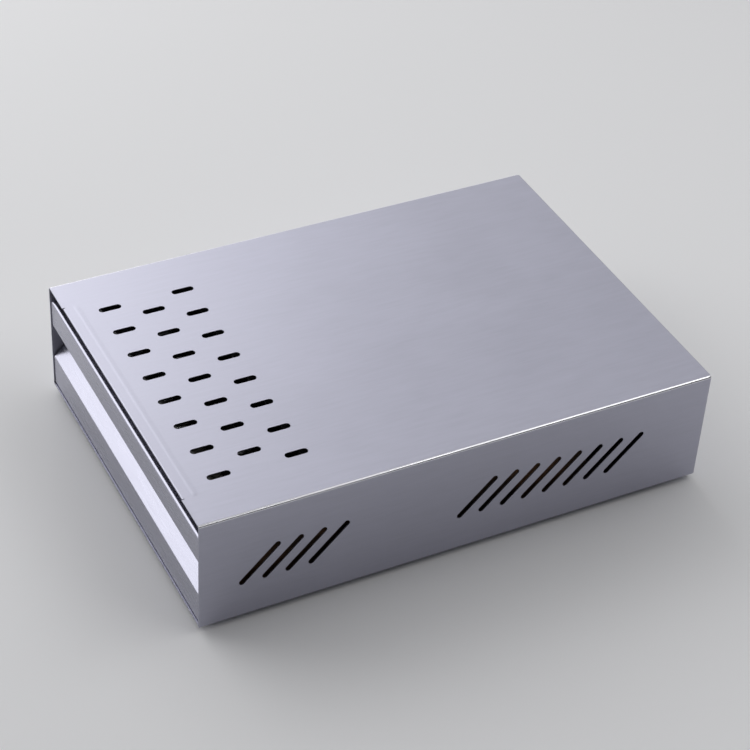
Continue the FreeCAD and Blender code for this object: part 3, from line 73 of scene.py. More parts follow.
class Shader:
    """A material under construction: its node tree and the principled shader at its end."""

    def __init__(self, name):
        self.material = bpy.data.materials.new(name)
        self.material.use_nodes = True
        self.tree = self.material.node_tree
        self.principled = self.tree.nodes["Principled BSDF"]

    def new(self, kind, **settings):
        node = self.tree.nodes.new("ShaderNode" + kind)
        for key, setting in settings.items():
            setattr(node, key, setting)
        return node

    def link(self, source, target):
        self.tree.links.new(source, target)

    def set(self, **sockets):
        """Uniform values, straight on the principled shader's own sockets."""
        for label, number in sockets.items():
            self.principled.inputs[label.replace("_", " ").title()].default_value = number

    def maths(self, operation, first, second=None):
        node = self.new("Math", operation=operation)
        for socket, source in zip(node.inputs, (first, second)):
            if source is None:
                continue
            if isinstance(source, (int, float)):
                socket.default_value = source
            else:
                self.link(source, socket)
        return node.outputs[0]

    def split(self, vector):
        node = self.new("SeparateXYZ")
        self.link(vector, node.inputs[0])
        return node.outputs

    def joined(self, x=0.0, y=0.0, z=0.0):
        node = self.new("CombineXYZ")
        for socket, source in zip(node.inputs, (x, y, z)):
            if isinstance(source, (int, float)):
                socket.default_value = source
            else:
                self.link(source, socket)
        return node.outputs[0]

    def pick(self, fac, first, second):
        """The first vector where fac is 0, the second where it is 1."""
        node = self.new("Mix", data_type="VECTOR")
        self.link(fac, node.inputs["Factor"])
        self.link(first, node.inputs["A"])
        self.link(second, node.inputs["B"])
        return node.outputs["Result"]

    def tint(self, fac, first, second):
        """Blend two colours; each is a link or a colour."""
        node = self.new("Mix", data_type="RGBA")
        self.link(fac, node.inputs[0])
        for socket, source in ((node.inputs[6], first), (node.inputs[7], second)):
            if isinstance(source, (tuple, float)):
                socket.default_value = rgba(source)
            else:
                self.link(source, socket)
        return node.outputs[2]

    def scaled(self, vector, scale):
        mapping = self.new("Mapping")
        mapping.inputs["Scale"].default_value = scale
        self.link(vector, mapping.inputs["Vector"])
        return mapping.outputs["Vector"]

    def noise(self, vector, scale, detail=3.0, roughness=0.6):
        node = self.new("TexNoise")
        node.inputs["Scale"].default_value = scale
        node.inputs["Detail"].default_value = detail
        node.inputs["Roughness"].default_value = roughness
        self.link(vector, node.inputs["Vector"])
        return node.outputs["Fac"]

    def ramp(self, fac, *stops):
        """A colour ramp; each stop is (position, colour or grey)."""
        node = self.new("ValToRGB")
        elements = node.color_ramp.elements
        while len(elements) < len(stops):
            elements.new(0.5)
        for element, (position, colour) in zip(elements, stops):
            element.position = position
            element.color = rgba(colour)
        self.link(fac, node.inputs["Fac"])
        return node.outputs["Color"]

    def span(self, fac, low, high, start=0.0, end=1.0, smooth=False):
        """Map start..end of a value onto low..high, held at both ends."""
        node = self.new("MapRange")
        node.interpolation_type = "SMOOTHSTEP" if smooth else "LINEAR"
        node.inputs["From Min"].default_value = start
        node.inputs["From Max"].default_value = end
        node.inputs["To Min"].default_value = low
        node.inputs["To Max"].default_value = high
        self.link(fac, node.inputs["Value"])
        return node.outputs["Result"]

    def weighted(self, *pairs):
        """The sum of value times weight over the pairs."""
        total = None
        for source, weight in pairs:
            term = self.maths("MULTIPLY", source, weight)
            total = term if total is None else self.maths("ADD", total, term)
        return total

    def bump(self, height, strength, distance, under=None):
        """Add relief; under is the normal of a coarser relief below it."""
        node = self.new("Bump")
        node.inputs["Strength"].default_value = strength
        node.inputs["Distance"].default_value = distance
        self.link(height, node.inputs["Height"])
        if under is not None:
            self.link(under, node.inputs["Normal"])
        self.link(node.outputs["Normal"], self.principled.inputs["Normal"])
        return node.outputs["Normal"]

    def colour(self, source):
        self.link(source, self.principled.inputs["Base Color"])

    def roughness(self, source):
        self.link(source, self.principled.inputs["Roughness"])


def rgba(colour):
    if isinstance(colour, (int, float)):
        colour = (colour, colour, colour)
    return (*colour, 1.0)


def shaded(colour, factor):
    return tuple(channel * factor for channel in colour)


# ------------------------------------------------------------------ metals

def brushed(name, colour, smooth, coarse, streak, anisotropy, fold_highlight=0.0, hem_line=False):
    """Brushed sheet: grain along X, or along Y on faces turned to the ends.

    The roughness runs from smooth to coarse and the tone varies by streak with the grain;
    fold_highlight paints a highlight on the long folds and smooths them, and hem_line lets the
    front hem show through.
    """
    shader = Shader(name)
    texture = shader.new("TexCoord")
    place = texture.outputs["Object"]
    x, y, z = shader.split(place)
    facing = shader.split(texture.outputs["Normal"])
    turned = shader.maths("GREATER_THAN", shader.maths("ABSOLUTE", facing[0]), 0.6)
    grain = shader.pick(turned, place, shader.joined(y, x, z))

    fine = shader.noise(shader.scaled(grain, (22, 1100, 1100)), 1.0, 3.0, 0.6)
    dashes = shader.noise(shader.scaled(grain, (30, 260, 260)), 1.0, 2.0, 0.5)
    clouds = shader.noise(place, 9.0, 3.0, 0.5)
    mixed = shader.weighted((fine, 0.40), (dashes, 0.35), (clouds, 0.25))
    tone = shader.ramp(mixed, (0.34, shaded(colour, 1 - streak)),
                       (0.66, shaded(colour, 1 + streak)))
    rough = shader.span(mixed, smooth, coarse, 0.3, 0.7)
    if fold_highlight:
        # Painted highlight: the colour of the folded long edges is lightened towards white to stand
        # for the bright fold highlight, and their roughness is lowered.
        fold = shader.maths("MULTIPLY", shader.maths("ABSOLUTE", facing[1]),
                            shader.maths("ABSOLUTE", facing[2]))
        painted_highlight = shader.span(fold, 0.0, fold_highlight, 0.03, 0.3, smooth=True)
        tone = shader.tint(painted_highlight, tone, (0.97, 0.97, 1.0))
        rough = shader.maths("SUBTRACT", rough, shader.maths("MULTIPLY", painted_highlight, 0.12))
    shader.colour(tone)
    shader.roughness(rough)
    shader.set(metallic=1.0, anisotropic=anisotropy)
    shader.link(shader.pick(turned, shader.joined(1.0), shader.joined(0.0, 1.0)),
                shader.principled.inputs["Tangent"])

    waves = shader.noise(shader.scaled(place, (4.5, 6.5, 6.5)), 1.0, 1.0, 0.5)
    relief = shader.bump(waves, 0.35, 0.0016)
    if hem_line:
        # The hem under the top's front edge shows through as a faint ridge.
        rise = shader.span(x, 0.0, 1.0, cad_low.x + HEM_START, cad_low.x + HEM_CREST, smooth=True)
        fall = shader.span(x, 1.0, 0.0, cad_low.x + HEM_CREST, cad_low.x + HEM_END, smooth=True)
        side = shader.maths("ABSOLUTE", y)
        inside = shader.span(side, 1.0, 0.0, cad_high.y - HEM_FADE, cad_high.y - HEM_STOP)
        ridge = shader.maths("MULTIPLY", shader.maths("MULTIPLY", rise, fall), inside)
        relief = shader.bump(ridge, 1.0, 0.00012, relief)
    shader.bump(fine, 0.08, 0.00003, relief)
    return shader.material


def plated(name, colour, smooth=0.25, coarse=0.42, scale=60.0, relief=0.08):
    """Zinc, mill or plated metal with fine mottling."""
    shader = Shader(name)
    place = shader.new("TexCoord").outputs["Object"]
    mottle = shader.noise(place, scale, 5.0, 0.6)
    spots = shader.noise(place, scale * 9, 2.0, 0.5)
    mixed = shader.weighted((mottle, 0.65), (spots, 0.35))
    shader.colour(shader.ramp(mixed, (0.35, shaded(colour, 0.9)), (0.65, shaded(colour, 1.07))))
    shader.roughness(shader.span(mixed, smooth, coarse, 0.3, 0.7))
    shader.bump(spots, relief, 0.00003)
    shader.set(metallic=1.0)
    return shader.material


def smoked_shaded_steel(name, colour):
    """Liner sheet: mill finish, straw tint towards the element, smoke stain and painted shade at
    the ports.
    """
    shader = Shader(name)
    texture = shader.new("TexCoord")
    place = texture.outputs["Object"]
    x, _, z = shader.split(place)
    rolled = shader.noise(shader.scaled(place, (12, 300, 300)), 1.0, 3.0, 0.6)
    clouds = shader.noise(place, 14.0, 4.0, 0.6)
    mixed = shader.weighted((rolled, 0.5), (clouds, 0.5))
    tone = shader.ramp(mixed, (0.35, shaded(colour, 0.88)), (0.65, shaded(colour, 1.06)))
    straw_start, straw_full = -0.05, 0.12
    warm = shader.maths("MULTIPLY",
                        shader.span(x, 0.0, 0.75, straw_start, straw_full, smooth=True),
                        shader.span(clouds, 0.4, 1.0, 0.3, 0.7))
    tone = shader.tint(warm, tone, (0.40, 0.31, 0.19))
    ports_end, bare_from = -0.150, -0.110
    clean_below, roof_level = 0.100, 0.113
    # Smoke stain at the ports, darkened to near black so that it is also painted shade where it
    # shows through the vent slots.
    soot_and_shade = shader.maths("MULTIPLY", shader.span(x, 1.0, 0.0, ports_end, bare_from, smooth=True),
                        shader.span(z, 0.0, 1.0, clean_below, roof_level, smooth=True))
    tone = shader.tint(soot_and_shade, tone, (0.009, 0.007, 0.006))
    shader.colour(tone)
    shader.roughness(shader.maths("ADD", shader.span(mixed, 0.26, 0.44, 0.3, 0.7),
                                  shader.maths("MULTIPLY", soot_and_shade, 0.35)))
    shader.bump(clouds, 0.25, 0.0003)
    shader.set(metallic=1.0)
    return shader.material


def tinted_tube(name):
    """Element sheath: dark oxide where it glows, plain steel towards its terminals."""
    shader = Shader(name)
    place = shader.new("TexCoord").outputs["Object"]
    x, _, _ = shader.split(place)
    scale_marks = shader.noise(place, 260.0, 5.0, 0.7)
    wander = shader.maths("ADD", x, shader.maths("MULTIPLY", scale_marks, 0.02))
    glow_end, cool_from = 0.11, 0.18
    shader.colour(shader.ramp(shader.span(wander, 0.0, 1.0, glow_end, cool_from),
                              (0.0, (0.055, 0.047, 0.045)), (0.35, (0.16, 0.10, 0.09)),
                              (0.6, (0.34, 0.24, 0.12)), (1.0, (0.46, 0.45, 0.44))))
    shader.roughness(shader.span(scale_marks, 0.38, 0.62, 0.3, 0.7))
    shader.bump(scale_marks, 0.35, 0.0001)
    shader.set(metallic=1.0)
    return shader.material


# ------------------------------------------------------------------ plastics, rubber, wool, paint

def moulded(name, colour, rough=0.5, texture_scale=1800.0, strength=0.25, coat=0.0):
    """Moulded plastic or rubber with a fine spark-eroded texture."""
    shader = Shader(name)
    place = shader.new("TexCoord").outputs["Object"]
    grain = shader.noise(place, texture_scale, 2.0, 0.5)
    cloud = shader.noise(place, 40.0, 3.0, 0.5)
    shader.colour(shader.ramp(cloud, (0.3, shaded(colour, 0.85)), (0.7, shaded(colour, 1.15))))
    shader.roughness(shader.span(grain, rough - 0.08, rough + 0.1, 0.3, 0.7))
    shader.bump(grain, strength, 0.00006)
    if coat:
        shader.set(coat_weight=coat, coat_roughness=0.05)
    return shader.material


def wool(name, light, dark):
    """Felted mineral wool: matted fibres in two tones, darkened in patches as painted shade."""
    shader = Shader(name)
    place = shader.new("TexCoord").outputs["Object"]
    fibres = shader.noise(shader.scaled(place, (0.35, 1, 2.5)), 900.0, 6.0, 0.8)
    clumps = shader.noise(place, 70.0, 3.0, 0.6)
    patches = shader.noise(place, 16.0, 2.0, 0.5)
    mixed = shader.weighted((fibres, 0.5), (clumps, 0.5))
    tone = shader.ramp(mixed, (0.35, dark), (0.65, light))
    # Painted shade: large patches are darkened to near black so that the wool looks shaded behind
    # the vent slots.
    tone = shader.tint(shader.span(patches, 0.0, 0.85, 0.42, 0.58, smooth=True), tone,
                       shaded(dark, 0.25))
    shader.colour(tone)
    shader.bump(mixed, 0.9, 0.0008)
    shader.set(roughness=0.96)
    return shader.material


def paint(name, colour):
    """Screen-printed ink with slightly uneven cover."""
    shader = Shader(name)
    place = shader.new("TexCoord").outputs["Object"]
    cover = shader.noise(place, 1500.0, 3.0, 0.6)
    shader.colour(shader.ramp(cover, (0.3, shaded(colour, 0.86)), (0.7, colour)))
    shader.roughness(shader.span(cover, 0.38, 0.55, 0.3, 0.7))
    shader.bump(cover, 0.15, 0.00002)
    return shader.material


def glowing_lens(name):
    """Ribbed amber lens, its colour deeper and paler in fine streaks."""
    shader = Shader(name)
    place = shader.new("TexCoord").outputs["Object"]
    streaks = shader.noise(place, 700.0, 2.0, 0.5)
    shader.colour(shader.ramp(streaks, (0.3, (0.62, 0.13, 0.012)), (0.7, (0.90, 0.27, 0.03))))
    shader.roughness(shader.span(streaks, 0.10, 0.2, 0.3, 0.7))
    shader.bump(streaks, 0.08, 0.00004)
    shader.set(coat_weight=0.8, coat_roughness=0.04)
    return shader.material


STEEL = (0.44, 0.44, 0.518)
INNER = (0.50, 0.50, 0.535)
# The shell's long folds carry a painted highlight.
SHELL = brushed("shell_steel_brushed", STEEL, 0.33, 0.46, 0.05, 0.5, fold_highlight=0.9, hem_line=True)

MATERIALS = {
    "shell_steel": brushed("front_steel_brushed", STEEL, 0.22, 0.34, 0.03, 0.3),
    "inner_steel": brushed("inner_steel_mill", INNER, 0.24, 0.38, 0.035, 0.3),
    "zinc_steel": plated("zinc_plate", (0.62, 0.64, 0.68)),
    "screw_steel": plated("screw_steel_bright", (0.60, 0.60, 0.61), 0.18, 0.30),
    "rack_chrome": plated("rack_chrome_polished", (0.78, 0.78, 0.80), 0.07, 0.16, 140.0, 0.04),
    "element_sheath": tinted_tube("element_sheath_oxide"),
    "brass": plated("brass_satin", (0.72, 0.55, 0.25)),
    "copper": plated("copper_satin", (0.72, 0.40, 0.26)),
    "foot_rubber": moulded("foot_rubber_matte", (0.03, 0.03, 0.033), 0.75, 900.0),
    "silicone": moulded("silicone_black", (0.022, 0.022, 0.024), 0.6, 700.0),
    "mineral_wool": wool("mineral_wool_mat", (0.22, 0.11, 0.05), (0.07, 0.036, 0.018)),
    "black_plastic": moulded("black_plastic_fine", (0.022, 0.022, 0.024), 0.42),
    "case_plastic": moulded("case_plastic_ivory", (0.55, 0.52, 0.44), 0.5),
    "lamp_amber": glowing_lens("lamp_amber_lens"),
    "wire_insulation": moulded("wire_brown", (0.12, 0.045, 0.02), 0.4, 600.0, 0.1),
}
WHITE_INK = paint("white_ink", (0.82, 0.82, 0.80))
DARK_INK = paint("dark_ink", (0.03, 0.03, 0.035))
OWN_MATERIAL = {
    "outer_shell": SHELL,
    "chamber_liner": smoked_shaded_steel("liner_steel_smoked_shaded", INNER),
    # Painted shade: the drip tray's steel is darkened so that it looks dark through the vent slots.
    "drip_tray": brushed("drip_tray_painted_shade", (0.17, 0.155, 0.14), 0.34, 0.52, 0.06, 0.2),
}


def dress_nodes():
    """Give every CAD node its own material or that of its slot."""
    for entry in frame["record"]["subparts"]:
        name = entry["node"]
        nodes[name].data.materials.clear()
        nodes[name].data.materials.append(OWN_MATERIAL.get(name, MATERIALS[entry["material_slot"]]))


def soften_edges(names, width):
    """Break the sharp edges of moulded or machined nodes so that they catch light."""
    for name in names:
        bevel = nodes[name].modifiers.new("edges", "BEVEL")
        bevel.width = width
        bevel.segments = 2
        bevel.limit_method = "ANGLE"
        bevel.angle_limit = math.radians(40)


# ------------------------------------------------------------------ mesh helpers

def finish_mesh(name, mesh_data, material, body, crisp=35):
    """Turn a bmesh into a piece that rides on a body.

    Edges sharper than crisp degrees stay sharp in the shading.
    """
    bmesh.ops.recalc_face_normals(mesh_data, faces=mesh_data.faces)
    for edge in mesh_data.edges:
        if len(edge.link_faces) == 2:
            edge.smooth = edge.calc_face_angle(0) < math.radians(crisp)
    for face in mesh_data.faces:
        face.smooth = True
    mesh = bpy.data.meshes.new(name)
    mesh_data.to_mesh(mesh)
    mesh_data.free()
    mesh.materials.append(material)
    piece = bpy.data.objects.new(name, mesh)
    bpy.context.scene.collection.objects.link(piece)
    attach(piece, body)
    return piece


def in_metres(profile):
    """A profile of (radius, height) points in millimetres, as metres."""
    return [(radius * MM, height * MM) for radius, height in profile]


def along(axis, place, radius, height, turn):
    """A point at a height along +X or +Z and a radius round it."""
    rise, side = radius * math.cos(turn), radius * math.sin(turn)
    if axis == "x":
        return (place.x + height, place.y + side, place.z + rise)
    return (place.x + rise, place.y + side, place.z + height)


def lathe(mesh_data, axis, place, profile, segments=32, ribs=0, rib_depth=0.0):
    """Revolve (radius, height) points; ribs vary the radius round the turn."""
    rings = []
    for radius, height in profile:
        ring = []
        for index in range(segments):
            turn = AROUND * index / segments
            reach = radius * (1 - rib_depth * (0.5 - 0.5 * math.cos(ribs * turn)))
            ring.append(mesh_data.verts.new(along(axis, place, reach, height, turn)))
        rings.append(ring)
    mesh_data.faces.new(rings[0])
    mesh_data.faces.new(rings[-1])
    for low, high in zip(rings, rings[1:]):
        for index in range(segments):
            after = (index + 1) % segments
            mesh_data.faces.new((low[index], low[after], high[after], high[index]))


def join_loops(mesh_data, loops):
    """Faces from each loop of points to the next, and from the last back to the first."""
    for loop, after in zip(loops, loops[1:] + loops[:1]):
        for i in range(len(loop)):
            j = (i + 1) % len(loop)
            mesh_data.faces.new((loop[i], loop[j], after[j], after[i]))


def hollow_lathe(mesh_data, axis, place, profile, segments=48):
    """Revolve a closed outline of (radius, height) points that has a hole through its middle."""
    join_loops(mesh_data, [[mesh_data.verts.new(along(axis, place, radius, height,
                                                      AROUND * index / segments))
                            for index in range(segments)] for radius, height in profile])


def baked(item):
    """The mesh of an object with its modifiers, or of a text."""
    bpy.context.view_layer.update()
    depsgraph = bpy.context.evaluated_depsgraph_get()
    return bpy.data.meshes.new_from_object(item.evaluated_get(depsgraph))


def solids_of(node):
    """The boxes of a node's separate solids, each as (low corner, high corner)."""
    mesh_data = bmesh.new()
    mesh_data.from_mesh(nodes[node].data)
    bmesh.ops.remove_doubles(mesh_data, verts=mesh_data.verts, dist=1e-6)
    unseen = set(mesh_data.verts)
    boxes = []
    while unseen:
        front = [unseen.pop()]
        island = list(front)
        while front:
            for edge in front.pop().link_edges:
                for other in edge.verts:
                    if other in unseen:
                        unseen.remove(other)
                        front.append(other)
                        island.append(other)
        boxes.append((Vector([min(v.co[i] for v in island) for i in range(3)]),
                      Vector([max(v.co[i] for v in island) for i in range(3)])))
    mesh_data.free()
    return sorted(boxes, key=lambda pair: tuple(round(c, 4) for c in pair[0]))


# ------------------------------------------------------------------ insulation and seals

def fluffed_block(mesh_data, low, high, cell, puff):
    """Add one block whose gridded faces are drawn in by uneven tufts."""
    size = high - low
    counts = [max(2, round(length / cell)) for length in size]
    grid = {}

    def corner(key):
        if key not in grid:
            share = Vector([key[a] / counts[a] for a in range(3)])
            rest = Vector([low[a] + size[a] * share[a] for a in range(3)])
            tuft = 0.5 + 0.5 * noise.fractal(rest * 90, 0.8, 2.0, 3)
            inward = Vector([(0.5 - share[a]) * 2 if key[a] in (0, counts[a]) else 0.0
                             for a in range(3)])
            grid[key] = mesh_data.verts.new(rest + inward * puff * min(1.0, max(0.0, tuft)))
        return grid[key]

    for axis in range(3):
        across, up = [a for a in range(3) if a != axis]
        for side in (0, counts[axis]):
            for i in range(counts[across]):
                for j in range(counts[up]):
                    loop = []
                    for di, dj in ((0, 0), (1, 0), (1, 1), (0, 1)):
                        key = [0, 0, 0]
                        key[axis], key[across], key[up] = side, i + di, j + dj
                        loop.append(corner(tuple(key)))
                    mesh_data.faces.new(loop)


def make_wool():
    """Fluffed mats in place of the plain blocks, each a little inside its block."""
    for name in ("floor", "near", "far", "ceiling", "rear"):
        node = name + "_insulation"
        mesh_data = bmesh.new()
        for low, high in solids_of(node):
            fluffed_block(mesh_data, low, high, cell=5 * MM, puff=1.5 * MM)
        piece = finish_mesh("wool_" + name, mesh_data, MATERIALS["mineral_wool"], "cabinet",
                            crisp=80)
        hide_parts(node)


def rounded_loop(inner, outer, share, radius):
    """Points of a rounded rectangle part of the way from an inner to an outer one."""
    steps = 5
    low = [inner[0][i] + (outer[0][i] - inner[0][i]) * share for i in range(2)]
    high = [inner[1][i] + (outer[1][i] - inner[1][i]) * share for i in range(2)]
    points = []
    for quarter, (x, y) in enumerate(((high[0] - radius, high[1] - radius),
                                      (low[0] + radius, high[1] - radius),
                                      (low[0] + radius, low[1] + radius),
                                      (high[0] - radius, low[1] + radius))):
        for step in range(steps + 1):
            turn = math.pi / 2 * (quarter + step / steps)
            points.append((x + radius * math.cos(turn), y + radius * math.sin(turn)))
    return points


def make_ring(name, node, inner, outer, profile, radii, place):
    """A closed ring with one moulded profile of (share from inner to outer, height).

    The place call turns a point of the ring's own plane, and a height, into one in the frame.
    """
    mesh_data = bmesh.new()
    loops = []
    for share, height in profile:
        radius = radii[0] + (radii[1] - radii[0]) * share
        loops.append([mesh_data.verts.new(place(across, up, height))
                      for across, up in rounded_loop(inner, outer, share, radius)])
    join_loops(mesh_data, loops)
    piece = finish_mesh(name, mesh_data, MATERIALS["silicone"], "cabinet")
    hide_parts(node)


def make_seals():
    """The drawer seal with its two lips, and the ribbed gasket round the outlet."""
    low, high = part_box("drawer_seal")
    thick = high.x - low.x
    lips = [(0.0, 0.0), (0.0, 0.35), (0.06, 0.75), (0.16, 1.0), (0.27, 0.97), (0.36, 0.7),
            (0.42, 0.45), (0.58, 0.45), (0.64, 0.7), (0.73, 0.97), (0.84, 1.0), (0.94, 0.75),
            (1.0, 0.35), (1.0, 0.0)]
    half_mouth, liner_low, liner_high = 0.175, 20 * MM, 115 * MM
    make_ring("seal_lips", "drawer_seal",
              ((-half_mouth, liner_low - 1 * MM), (half_mouth, liner_high + 0.4 * MM)),
              ((low.y, low.z), (high.y, high.z)), lips, (0.5 * MM, 6 * MM),
              lambda across, up, height: (high.x - thick * height, across, up))
    low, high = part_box("outlet_gasket")
    wall = 5 * MM
    ribs = [(0.0, 0.0), (0.0, 1.0), (1.0, 1.0)]
    for level in range(9, 0, -1):
        ribs += [(1.0, level / 10 + 0.02), (0.72, level / 10), (1.0, level / 10 - 0.02)]
    ribs.append((1.0, 0.0))
    make_ring("outlet_gasket_ribbed", "outlet_gasket",
              ((low.x + wall, low.y + wall), (high.x - 4 * MM, high.y - wall)),
              ((low.x, low.y), (high.x, high.y)), ribs, (1 * MM, 5 * MM),
              lambda across, up, height: (across, up, low.z + (high.z - low.z) * height))


# ------------------------------------------------------------------ feet and screws

def make_feet():
    """Moulded feet: tapered, ribbed round the side, with a rounded rim and a sunk screw seat."""
    for corner in ("front_near", "front_far", "rear_near", "rear_far"):
        node = corner + "_foot"
        low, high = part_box(node)
        place = Vector(((low.x + high.x) / 2, (low.y + high.y) / 2, low.z))
        profile = [(2.15, 8), (2.15, 3), (4.9, 3), (4.95, 0.5), (5.4, 0.05), (6.3, 0), (6.5, 0.35),
                   (7.3, 0.35), (7.5, 0), (9.9, 0), (10.8, 0.35), (11.25, 1.0), (11.5, 2.0),
                   (11.2, 2.3), (11.6, 2.6), (11.85, 3.6), (11.5, 3.9), (11.95, 4.2), (12.25, 5.2),
                   (11.9, 5.5), (12.35, 5.8), (12.7, 7.2), (13.0, 7.5), (12.9, 8)]
        mesh_data = bmesh.new()
        hollow_lathe(mesh_data, "z", place, in_metres(profile))
        piece = finish_mesh(corner + "_foot_moulded", mesh_data, MATERIALS["foot_rubber"],
                            "cabinet")
        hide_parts(node)


def cross_head(head, height, shank, length, countersunk=False):
    """One screw along +Z from its crown at 0: a head with a cross recess, and a threaded shank."""
    pitch = 0.7
    mesh_data = bmesh.new()
    if countersunk:
        profile = [(head * 0.97, 0), (head, 0.15 * MM), (shank, height)]
    else:
        profile = [(head * 0.35, 0), (head * 0.7, height * 0.12), (head * 0.92, height * 0.4),
                   (head, height * 0.8), (head * 0.98, height), (shank, height)]
    turns = round((length - height) / (pitch * MM))
    for index in range(turns):
        start = height + index * pitch * MM
        profile += [(shank, start + 0.2 * MM), (shank * 0.84, start + 0.5 * MM)]
    profile.append((shank * 0.7, length))
    lathe(mesh_data, "z", Vector(), profile, segments=24)
    bmesh.ops.recalc_face_normals(mesh_data, faces=mesh_data.faces)
    body = bpy.data.meshes.new("screw")
    mesh_data.to_mesh(body)
    mesh_data.free()

    mesh_data = bmesh.new()
    arm, narrow, deep = head * 0.62, head * 0.15, height * 0.75
    one_arm = ((arm, -narrow, 0), (arm, narrow, 0), (narrow, narrow, 0))
    outline = []
    for quarter in range(4):
        turn = Matrix.Rotation(math.pi / 2 * quarter, 3, "Z")
        outline += [turn @ Vector(point) for point in one_arm]
    top = [mesh_data.verts.new(p + Vector((0, 0, -MM))) for p in outline]
    bottom = [mesh_data.verts.new(Vector((p.x * 0.6, p.y * 0.6, deep))) for p in outline]
    mesh_data.faces.new(top)
    mesh_data.faces.new(bottom)
    for i in range(len(outline)):
        j = (i + 1) % len(outline)
        mesh_data.faces.new((top[i], top[j], bottom[j], bottom[i]))
    bmesh.ops.recalc_face_normals(mesh_data, faces=mesh_data.faces)
    cutter = bpy.data.meshes.new("recess")
    mesh_data.to_mesh(cutter)
    mesh_data.free()

    screw = bpy.data.objects.new("screw_blank", body)
    tool = bpy.data.objects.new("screw_recess", cutter)
    for item in (screw, tool):
        bpy.context.scene.collection.objects.link(item)
    carve = screw.modifiers.new("recess", "BOOLEAN")
    carve.object = tool
    carve.operation = "DIFFERENCE"
    carve.solver = "EXACT"
    result = baked(screw)
    bpy.data.objects.remove(screw)
    bpy.data.objects.remove(tool)
    return result


# Turns a screw made along +Z, from crown to tip, to point another way.
POINTED = {"+z": Matrix.Identity(3), "-x": Matrix(((0, 0, -1), (0, 1, 0), (1, 0, 0)))}


def make_screws():
    """Screws with driven cross heads in place of the plain ones."""
    # Node, way from crown to tip, head radius, head height, shank radius, length, sunk, body.
    rows = (("base_screws", "+z", 3.5, 2.0, 2.0, 8.0, False, "cabinet"),
            ("foot_screws", "+z", 4.0, 2.0, 2.0, 12.0, False, "cabinet"),
            ("drawer_screws", "-x", 3.5, 1.5, 2.0, 4.7, False, "drawer"),
            ("panel_screws", "-x", 3.1, 1.1, 2.0, 8.9, True, "cabinet"),
            ("inlet_screws", "-x", 2.8, 1.6, 1.5, 9.6, False, "cabinet"))
    for node, way, head, height, shank, length, countersunk, body in rows:
        template = cross_head(head * MM, height * MM, shank * MM, length * MM, countersunk)
        turn = POINTED[way].to_4x4()
        axis = "xyz".index(way[1])
        mesh_data = bmesh.new()
        for index, (low, high) in enumerate(solids_of(node)):
            crown = (low + high) / 2
            crown[axis] = low[axis] if way[0] == "+" else high[axis]
            # Every screw stopped at another angle when it was driven home.
            spin = Matrix.Rotation(math.radians(23 + 67 * index), 4, "Z")
            copy = template.copy()
            copy.transform(Matrix.Translation(crown) @ turn @ spin)
            mesh_data.from_mesh(copy)
            bpy.data.meshes.remove(copy)
        bpy.data.meshes.remove(template)
        piece = finish_mesh(node + "_driven", mesh_data, MATERIALS["screw_steel"], body)
        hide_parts(node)


# ------------------------------------------------------------------ rear controls

def lettering(texts, size, facing):
    """Flat lettering as one bmesh: each entry is (text, centre)."""
    mesh_data = bmesh.new()
    for text, centre in texts:
        curve = bpy.data.curves.new("lettering", "FONT")
        curve.body = text
        curve.size = size
        curve.align_x = "CENTER"
        curve.align_y = "CENTER"
        curve.extrude = 0.04 * MM
        curve.offset = 0.03 * MM
        item = bpy.data.objects.new("lettering", curve)
        bpy.context.scene.collection.objects.link(item)
        flat = baked(item)
        flat.transform(Matrix.Translation(centre) @ facing.to_4x4())
        mesh_data.from_mesh(flat)
        bpy.data.meshes.remove(flat)
        bpy.data.objects.remove(item)
        bpy.data.curves.remove(curve)
    return mesh_data


def slab(mesh_data, corners, thickness, normal):
    """A thin closed plate on a flat outline."""
    low = [mesh_data.verts.new(point) for point in corners]
    high = [mesh_data.verts.new(point + normal * thickness) for point in corners]
    mesh_data.faces.new(low)
    mesh_data.faces.new(high)
    for i in range(len(corners)):
        j = (i + 1) % len(corners)
        mesh_data.faces.new((low[i], low[j], high[j], high[i]))


OUTWARD = Vector((1, 0, 0))
FACE_REAR = Matrix(((0, 0, 1), (1, 0, 0), (0, 1, 0)))


